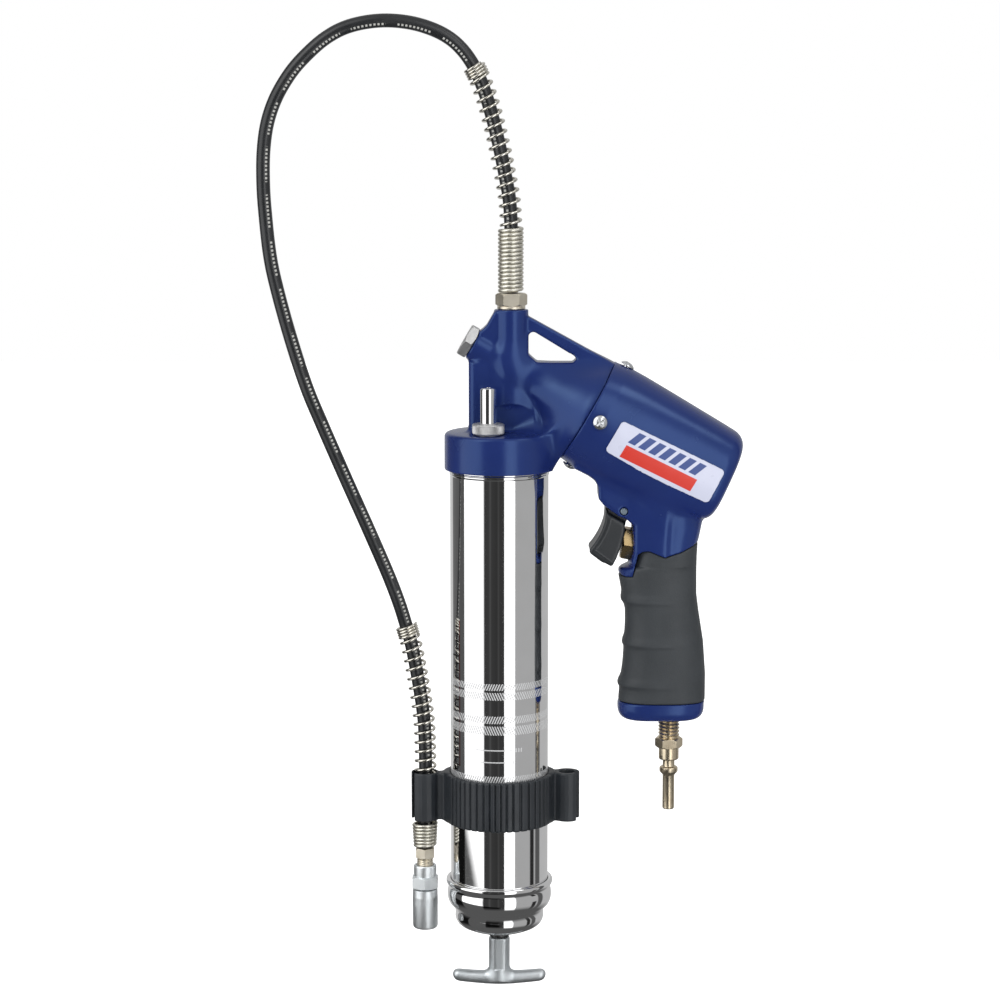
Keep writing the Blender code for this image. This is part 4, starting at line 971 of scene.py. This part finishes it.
def end_cap():
    r = BARREL_R
    outer = [(r + 0.3, -243.4), (r + 0.9, -243.0), (30.4, -243.1), (31.0, -243.5), (31.35, -244.2)]
    outer += [(31.4, -245.2), (31.1, -246.2), (30.5, -246.9), (30.2, -247.6), (30.2, -249.0), (30.5, -250.4)]
    outer += [(30.7, -252.4), (30.6, -254.6), (30.1, -256.6), (29.2, -258.4), (27.8, -259.9), (26.7, -261.0)]
    outer += [(26.1, -262.4), (26.0, -264.6), (26.1, -266.6), (25.7, -268.4), (24.6, -270.3), (22.6, -271.9)]
    outer += [(19.0, -273.5), (14.4, -275.2), (9.0, -276.7), (7.6, -277.0), (6.0, -277.0)]
    inner = [(6.0, -275.6), (14.6, -274.0), (20.4, -271.6), (23.6, -269.4), (24.8, -267.0), (24.8, -262.4),
             (26.2, -260.0), (28.4, -257.6), (28.9, -254.8), (r + 0.3, -252.6)]
    turned("barrel_end_cap", outer + inner, "chrome_plate", "barrel", ["end_cap"], sides=160, sharp=50)
    bushing = [(4.3, -274.2), (8.4, -272.6), (8.4, -273.9), (6.0, -275.4), (6.0, -279.0), (5.6, -279.5),
               (4.3, -279.5)]
    turned("rod_guide", bushing, "dark_steel", "barrel", ["rod_bushing"])
    rod = [(0, 8.6), (5.6, 8.6), (6.2, 8.0), (6.2, 6.4), (4.0, 6.4), (4.0, -281.0), (0, -281.0)]
    turned("pull_rod_shaft", rod, "steel", "pull_rod", ["follower_rod"], sides=64)


def t_handle():
    low = (-30.0, -7.0, -311.5)
    x, y, z, step = sample_grid(low, (30.0, 7.0, -279.0), 0.3)
    radial = np.sqrt(x * x + y * y)
    stem_radius = np.interp(z, [-306.0, -281.6, -279.0], [6.15, 6.25, 6.1]).astype(np.float32)
    stem = near_max(radial - stem_radius, z + 280.0, 1.2)
    stem = np.maximum(stem, -306.0 - z)
    rise = (0.0025 * x * x).astype(np.float32)
    thick = np.interp(np.abs(x), [0.0, 12.0, 24.0, 40.0], [4.35, 4.1, 3.9, 3.7]).astype(np.float32)
    bar = np.sqrt(y * y + ((z + 305.2 - rise) / 0.95) ** 2) - thick
    bar = near_max(bar, np.abs(x) - 27.7, 4.5)
    solid = near_min(stem, bar, 4.0)
    # a narrow flat runs down the front of the stem
    flat = np.maximum(np.maximum(np.abs(x) - 2.8, y + 5.45), np.maximum(-299.0 - z, z + 279.0))
    solid = taken(solid, flat, 0.6)
    solid = taken(solid, bore(radial, 4.3, z, -281.3, -270.0), 0.3)
    from_field("pull_handle", solid, low, step, "cast_zinc", "pull_rod", ["t_handle"])


def follower_parts():
    bottom = -266.0
    centre = np.linspace((0, 0, bottom), (0, 0, -2.0), 60)
    turns = [(1.0, 2.5), (9.0, 28.8), (1.0, 2.4)]
    spring = coil("follower_spring_wire", centre, 20.0, 2.4, turns, "spring_steel", "barrel",
                  ["follower_spring"])
    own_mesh(spring)


def inner_springs():
    turns = [(1.0, 2.3), (5.0, 10.0), (1.0, 2.2)]
    start, end = np.array(along(-0.6)), np.array(along(57.6))
    spring = coil("return_spring_wire", np.linspace(start, end, 40), 13.0, 2.2, turns, "spring_steel", "gun",
                  ["return_spring"])
    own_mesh(spring)
    start, end = np.array(along(-63.5)), np.array(along(-51.8))
    turns = [(1, 0.9), (3.4, 2.7), (1, 0.9)]
    spring = coil("outlet_spring_wire", np.linspace(start, end, 20), 3.2, 0.8, turns, "spring_steel", "gun",
                  ["outlet_spring"], per_turn=18, sides=6)
    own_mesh(spring)
    base = np.array(BLEEDER) - (0, 0, 4.7)
    spring = coil("bleed_spring_wire", np.linspace(base, base + (0, 0, 2.8), 10), 3.4, 0.6, [(2.0, 1.1)],
                  "spring_steel", "gun", ["bleeder_spring"], per_turn=18, sides=6)
    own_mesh(spring)


# ---------------------------------------------------------------- hose line

def between(path, high, low, rising):
    """The part of the hose path between two heights, on its rising or falling side."""
    peak = int(np.argmax(path[:, 2]))
    side = path[:peak] if rising else path[peak:]
    return side[(side[:, 2] <= high) & (side[:, 2] >= low)]


def straight(x, low, high):
    return np.linspace((x, 0.0, low), (x, 0.0, high), 60)


def hose_material():
    """Satin black hose with a broken line of pale print along it."""
    made = surface_material("hose_rubber", (0.008, 0.009, 0.010), (0.014, 0.015, 0.017), (0.26, 0.36),
                            scale=60.0, bump=8e-6)
    run, turn = (made.node_tree.nodes.new("ShaderNodeAttribute") for _ in range(2))
    run.attribute_name = "run"
    turn.attribute_name = "turn"
    place = Number(run.outputs["Fac"])
    dash = window(repeated(place, 2.3), 0.1, 0.62)
    group = window(repeated(place, 27.0), 0.04, 0.78, 0.01)
    line = window(Number(turn.outputs["Fac"]), 0.15, 0.205, 0.006)
    over_colour(shader_of(made), dash * group * line * 0.75, (0.45, 0.45, 0.42))
    return made


def coil_guards(path):
    upper = between(path, 231.2, 139.6, True)
    lower = between(path, -91.2, -209.6, False)
    return [
        coil("upper_close_coil", straight(OUTLET_X - 0.35, 102.4, 140.2), 6.3, 2.25, [(15.7, 2.27)],
             "pale_wire", "gun", ["upper_coil_guard"]),
        coil("upper_open_coil", upper, 5.75, 1.65, [(15.4, 5.6), (4.0, 1.7)], "spring_steel", "gun",
             ["upper_spring_guard"]),
        coil("lower_open_coil", lower, 5.75, 1.65, [(4.0, 1.7), (20.0, 5.55)], "spring_steel", "gun",
             ["lower_spring_guard"]),
        coil("lower_close_coil", straight(COUPLER_X - 0.5, -224.9, -208.9), 6.75, 2.0, [(6.9, 2.02)],
             "pale_wire", "gun", ["lower_coil_guard"], taper=0.85),
    ]


def coupler_pieces():
    place = (COUPLER_X - 0.5, 0, 0)
    end = [(1.8, -225.3), (4.5, -225.3)] + hexagon(5.35, -231.6, -225.6, 0.6)[::-1] + [(4.5, -231.9)]
    end += threads(4.85, -232.0, -236.4, -1.1, 0.5) + [(4.7, -236.5), (4.7, -244.0), (1.8, -244.0)]
    nut = [(5.2, -236.0), (6.3, -236.0), (6.6, -236.4), (6.7, -237.0), (6.7, -242.6)]
    nut += hexagon(7.5, -249.9, -242.9, 0.7)[::-1]
    nut += [(6.3, -250.3), (2.4, -250.3), (2.4, -244.4), (5.2, -244.4)]
    sleeve = [(5.6, -250.6), (6.9, -250.6), (7.3, -250.9), (7.4, -251.4), (7.4, -254.8), (7.45, -255.0)]
    sleeve += [(7.5, -255.2 - 0.3 * k, "knurl", 0.06, 70, 2.0) for k in range(18)]
    sleeve += [(7.45, -260.7), (7.45, -272.4), (7.2, -273.5), (6.5, -274.2), (4.5, -274.2), (4.5, -272.0),
               (5.6, -269.0)]
    jaws = [(3.6, -272.6), (4.1, -272.6), (5.2, -268.8), (5.2, -251.0), (3.6, -251.0)]
    return [
        turned("hose_end", end, "pale_brass", "gun", ["hose_end_fitting"], place),
        turned("coupler_nut", nut, "coupler_steel", "gun", ["coupler_body"], place),
        turned("coupler_shell", sleeve, "coupler_steel", "gun", ["coupler_sleeve"], place, sides=280),
        turned("coupler_grip_ring", jaws, "steel", "gun", ["coupler_jaws"], place),
    ]


def hose_line():
    sides = 24
    path = smooth_path(HOSE_ROUTE, 8)
    points, faces = tube(path, HOSE_R, sides)
    hose = finish_piece("whip_hose", points, faces, "hose", "gun", ["hose"])
    lengths = arc_lengths(path)
    around = np.arange(sides) / sides
    for name, values in (("run", np.append(np.repeat(lengths, sides), (0.0, lengths[-1]))),
                         ("turn", np.append(np.tile(around, len(path)), (0.0, 0.0)))):
        attribute = hose.data.attributes.new(name, "FLOAT", "POINT")
        attribute.data.foreach_set("value", values.astype(np.float32))
    pieces = coil_guards(path) + coupler_pieces()
    nut = [(2.0, -9.0), (5.1, -9.0), (5.1, 0), (7.9, 0.3), (8.1, 0.6), (8.1, 1.6), (7.9, 1.9)]
    nut += hexagon(7.95, 2.0, 9.2, 0.9) + [(6.9, 9.3), (2.0, 9.3)]
    turned("hose_swivel_nut", nut, "pale_brass", "gun", ["hose_nut"], (OUTLET_X, 0, 92.8), turn=30)


# ---------------------------------------------------------------- clip

def ear_outline(centre, side, outer, inner, mouth):
    """Socket open on its outer side; mouth holds the angles at which its walls end, front then back."""
    front, back, front_inner, back_inner = (math.radians(angle) for angle in mouth)
    steps = 16
    outline = []
    runs = (outer, front, math.tau - back), (inner, math.tau - back_inner, front_inner)
    for radius, start, stop in runs:
        for k in range(steps + 1):
            angle = start + (stop - start) * k / steps
            outline.append((centre + side * radius * math.cos(angle), -radius * math.sin(angle)))
    return outline


def hose_clip():
    low = (-53.5, -33.6, -209.5)
    x, y, z, step = sample_grid(low, (48.6, 33.6, -178.0), 0.35)
    radial = np.sqrt(x * x + y * y)
    angle = np.degrees(np.arctan2(x, -y))
    # grooves of uneven width round the front, fading out towards the ears
    warp = angle + 2.4 * np.sin(np.radians(angle * 3.1 + 40)) + 1.3 * np.sin(np.radians(angle * 7.3))
    wave = np.abs((warp / 7.4) % 1.0 - 0.5) * 2
    groove = np.clip((0.34 - wave) / 0.2, 0, 1) * np.clip((66 - np.abs(angle)) / 6, 0, 1)
    ring = radial - 31.8 + (groove * 1.2).astype(np.float32)
    solid = near_max(ring + 0 * z, np.maximum(z + 179.1, -208.5 - z), 1.4)
    for centre, outer, inner, mouth in ((COUPLER_X - 0.4, 8.2, 6.9, (42.0, 8.0, 30.0, 9.5)),
                                        (39.8, 7.8, 4.6, (45.0, 15.0, 28.0, 26.0))):
        side = math.copysign(1, centre)
        reach = centre - side * (inner + 0.9)
        web = outline_distance(x, y, [(side * 29.6, -6.4), (side * 32.2, -4.4), (reach, -4.6), (reach, 4.6),
                                      (side * 32.2, 4.4), (side * 29.6, 6.4)])
        web = near_max(web + 0 * z, np.maximum(z + 179.9, -207.7 - z), 1.2)
        wall = outline_distance(x, y, ear_outline(centre, side, outer, inner, mouth))
        wall = near_max(wall + 0 * z, np.maximum(z + 179.3, -208.3 - z), 1.0)
        solid = near_min(solid, web, 3.0)
        solid = near_min(solid, wall, 1.2)
        hollow = np.sqrt((x - centre) ** 2 + y * y) - inner
        solid = taken(solid, hollow + 0 * z, 0.3)
    solid = taken(solid, radial - BARREL_R - 0.3 + 0 * z, 0.8)
    from_field("hose_clip_strap", solid, low, step, "clip_rubber", "gun", ["hose_clip"])


# ---------------------------------------------------------------- studio

# The floor lies clear of the pull handle when it is drawn out
FLOOR_Z = -0.62

# The light tent's radius and how far its middle lies below the origin
TENT_R = 1.3
TENT_DROP = 0.07

# The tent's brightness by bearing in degrees, 0 towards the front and 90 to the right
TENT = [
    (-180, 0.62), (-141, 0.62), (-136, 0.16), (-118, 0.12), (-104, 0.10), (-90, 0.09), (-88, 1.7), (-39, 1.7),
    (-36, 0.04), (-25, 0.045), (-22, 0.085), (-19, 0.045), (-6, 0.035), (-3, 0.065), (0, 0.04), (10, 0.04),
    (12.5, 2.3), (34.5, 2.3), (36.5, 0.43), (93, 0.43), (95, 0.10), (109, 0.10), (112, 0.5), (165, 0.5),
    (180, 0.62),
]


def tent_mesh():
    """Sphere of the tent's radius about the gun's middle height."""
    points, faces = [], []
    across, up = 96, 48
    for k in range(up + 1):
        rise = math.pi * k / up - math.pi / 2
        for i in range(across):
            bearing = 2 * math.pi * i / across
            level = TENT_R * math.cos(rise)
            points.append((level * math.sin(bearing), -level * math.cos(bearing),
                           TENT_R * math.sin(rise) - TENT_DROP))
    for k in range(up):
        for i in range(across):
            j = (i + 1) % across
            faces.append((k * across + i, k * across + j, (k + 1) * across + j, (k + 1) * across + i))
    mesh = bpy.data.meshes.new("light_tent")
    mesh.from_pydata(points, [], faces)
    return mesh


def tent_walls(degrees):
    """Brightness by bearing, from the tent's list of stops."""
    brightest = 2.5
    ramp = degrees.socket.id_data.nodes.new("ShaderNodeFloatCurve")
    curve = ramp.mapping.curves[0]
    ramp.mapping.use_clip = False
    stops = [((stop + 180) / 360, value / brightest) for stop, value in TENT]
    curve.points[0].location = stops[0]
    curve.points[1].location = stops[-1]
    for stop in stops[1:-1]:
        curve.points.new(*stop)
    for point in curve.points:
        point.handle_type = "VECTOR"
    ramp.mapping.update()
    feed(ramp.inputs["Value"], mapped(degrees, 0.0, 1.0, -180.0, 180.0))
    return Number(ramp.outputs[0]) * brightest


def tent_material():
    made = bpy.data.materials.new("tent_glow")
    made.use_nodes = True
    tree = made.node_tree
    tree.nodes.clear()
    out = tree.nodes.new("ShaderNodeOutputMaterial")
    glow = tree.nodes.new("ShaderNodeEmission")
    feed(out.inputs["Surface"], glow.outputs[0])
    coords, (x, y, z) = coordinates(tree)
    degrees = bearing_of(x, y)
    height = z + TENT_DROP
    # low down, the left soft box fades out to its left and a dark panel stands in the right wall
    faded = mapped(degrees + height * 555.0, 0.06, 1.0, -388.0, -368.0)
    walls = tent_walls(degrees) * larger(faded, 1.0 - window(degrees, -135.0, 0.0, 3.0))
    panel = window(degrees, 77.0, 89.0, 1.5) * mapped(height, 1.0, 0.0, -0.53, -0.49)
    walls = walls * (1.0 - panel * 0.94)
    floor = mapped(height, 0.0, 1.0, -1.0, -0.75)
    lower = (1.0 - floor) * 0.10 + walls * floor
    ceiling = mapped(height, 0.0, 1.0, 0.85, 1.05)
    upper = ceiling * 0.55 + lower * (1.0 - ceiling)
    # a small high light for the narrow streak along the housing and the cone
    aim = tree.nodes.new("ShaderNodeVectorMath")
    aim.operation = "DOT_PRODUCT"
    aim.inputs[1].default_value = (0.5409 / TENT_R, -0.2638 / TENT_R, 0.7986 / TENT_R)
    feed(aim.inputs[0], coords)
    high_light = mapped(Number(aim.outputs["Value"]), 0.0, 3.0, 0.940, 0.947)
    feed(glow.inputs["Strength"], upper + high_light)
    return made


def light_tent():
    """Room seen only in reflections: two soft boxes, grey side walls and a dark ceiling gap and floor."""
    mesh = tent_mesh()
    mesh.materials.append(tent_material())
    tent = bpy.data.objects.new("light_tent", mesh)
    bpy.context.collection.objects.link(tent)
    tent.visible_camera = False
    tent.visible_diffuse = False
    tent.visible_transmission = False
    tent.visible_volume_scatter = False
    tent.visible_shadow = False


def studio():
    scene = bpy.context.scene
    scene.view_settings.view_transform = "Standard"
    world = bpy.data.worlds.new("studio")
    scene.world = world
    world.use_nodes = True
    background = world.node_tree.nodes["Background"]
    background.inputs["Color"].default_value = (1.0, 1.0, 1.0, 1.0)
    background.inputs["Strength"].default_value = 1.0
    mesh = bpy.data.meshes.new("floor")
    corners = [(x, y, FLOOR_Z) for x, y in ((-6, -6), (6, -6), (6, 6), (-6, 6))]
    mesh.from_pydata(corners, [], [(0, 1, 2, 3)])
    floor = bpy.data.objects.new("floor", mesh)
    bpy.context.collection.objects.link(floor)
    floor.visible_glossy = False
    paper = surface_material("floor_paper", (0.90, 0.90, 0.90), (0.93, 0.93, 0.93), (0.8, 0.9), scale=3.0)
    shader_of(paper).inputs["Emission Color"].default_value = (1.0, 1.0, 1.0, 1.0)
    shader_of(paper).inputs["Emission Strength"].default_value = 0.45
    mesh.materials.append(paper)
    for name, place, size, power in (("key", (-1.1, -1.3, 1.3), (0.8, 1.2), 16.0),
                                     ("fill", (1.3, -1.1, 0.7), (0.7, 1.2), 6.0)):
        light = bpy.data.lights.new(name, "AREA")
        light.shape = "RECTANGLE"
        light.size, light.size_y = size
        light.energy = power
        lamp = bpy.data.objects.new(name, light)
        bpy.context.collection.objects.link(lamp)
        lamp.location = place
        aim = Vector((0.0, 0.0, -0.05)) - Vector(place)
        lamp.rotation_euler = aim.to_track_quat("-Z", "Y").to_euler()


def repaint_inner_nodes():
    """Gives each CAD node that is still shown its procedural material."""
    slots = {row["node"]: row["material_slot"] for row in frame["record"]["subparts"]}
    for name, obj in frame["nodes"].items():
        if obj.hide_render:
            continue
        obj.data.materials.clear()
        obj.data.materials.append(LOOKS[slots[name]])


# ---------------------------------------------------------------- build

make_camera()
LOOKS = make_materials()
hose_line()
pump_head()
head_fittings()
bleeder()
motor_housing()
grip()
label("name_plate_left", "side_label_left", -1)
label("name_plate_right", "side_label_right", 1)
trigger()
valve_and_plug()
barrel()
end_cap()
t_handle()
follower_parts()
inner_springs()
hose_clip()
repaint_inner_nodes()
light_tent()
studio()
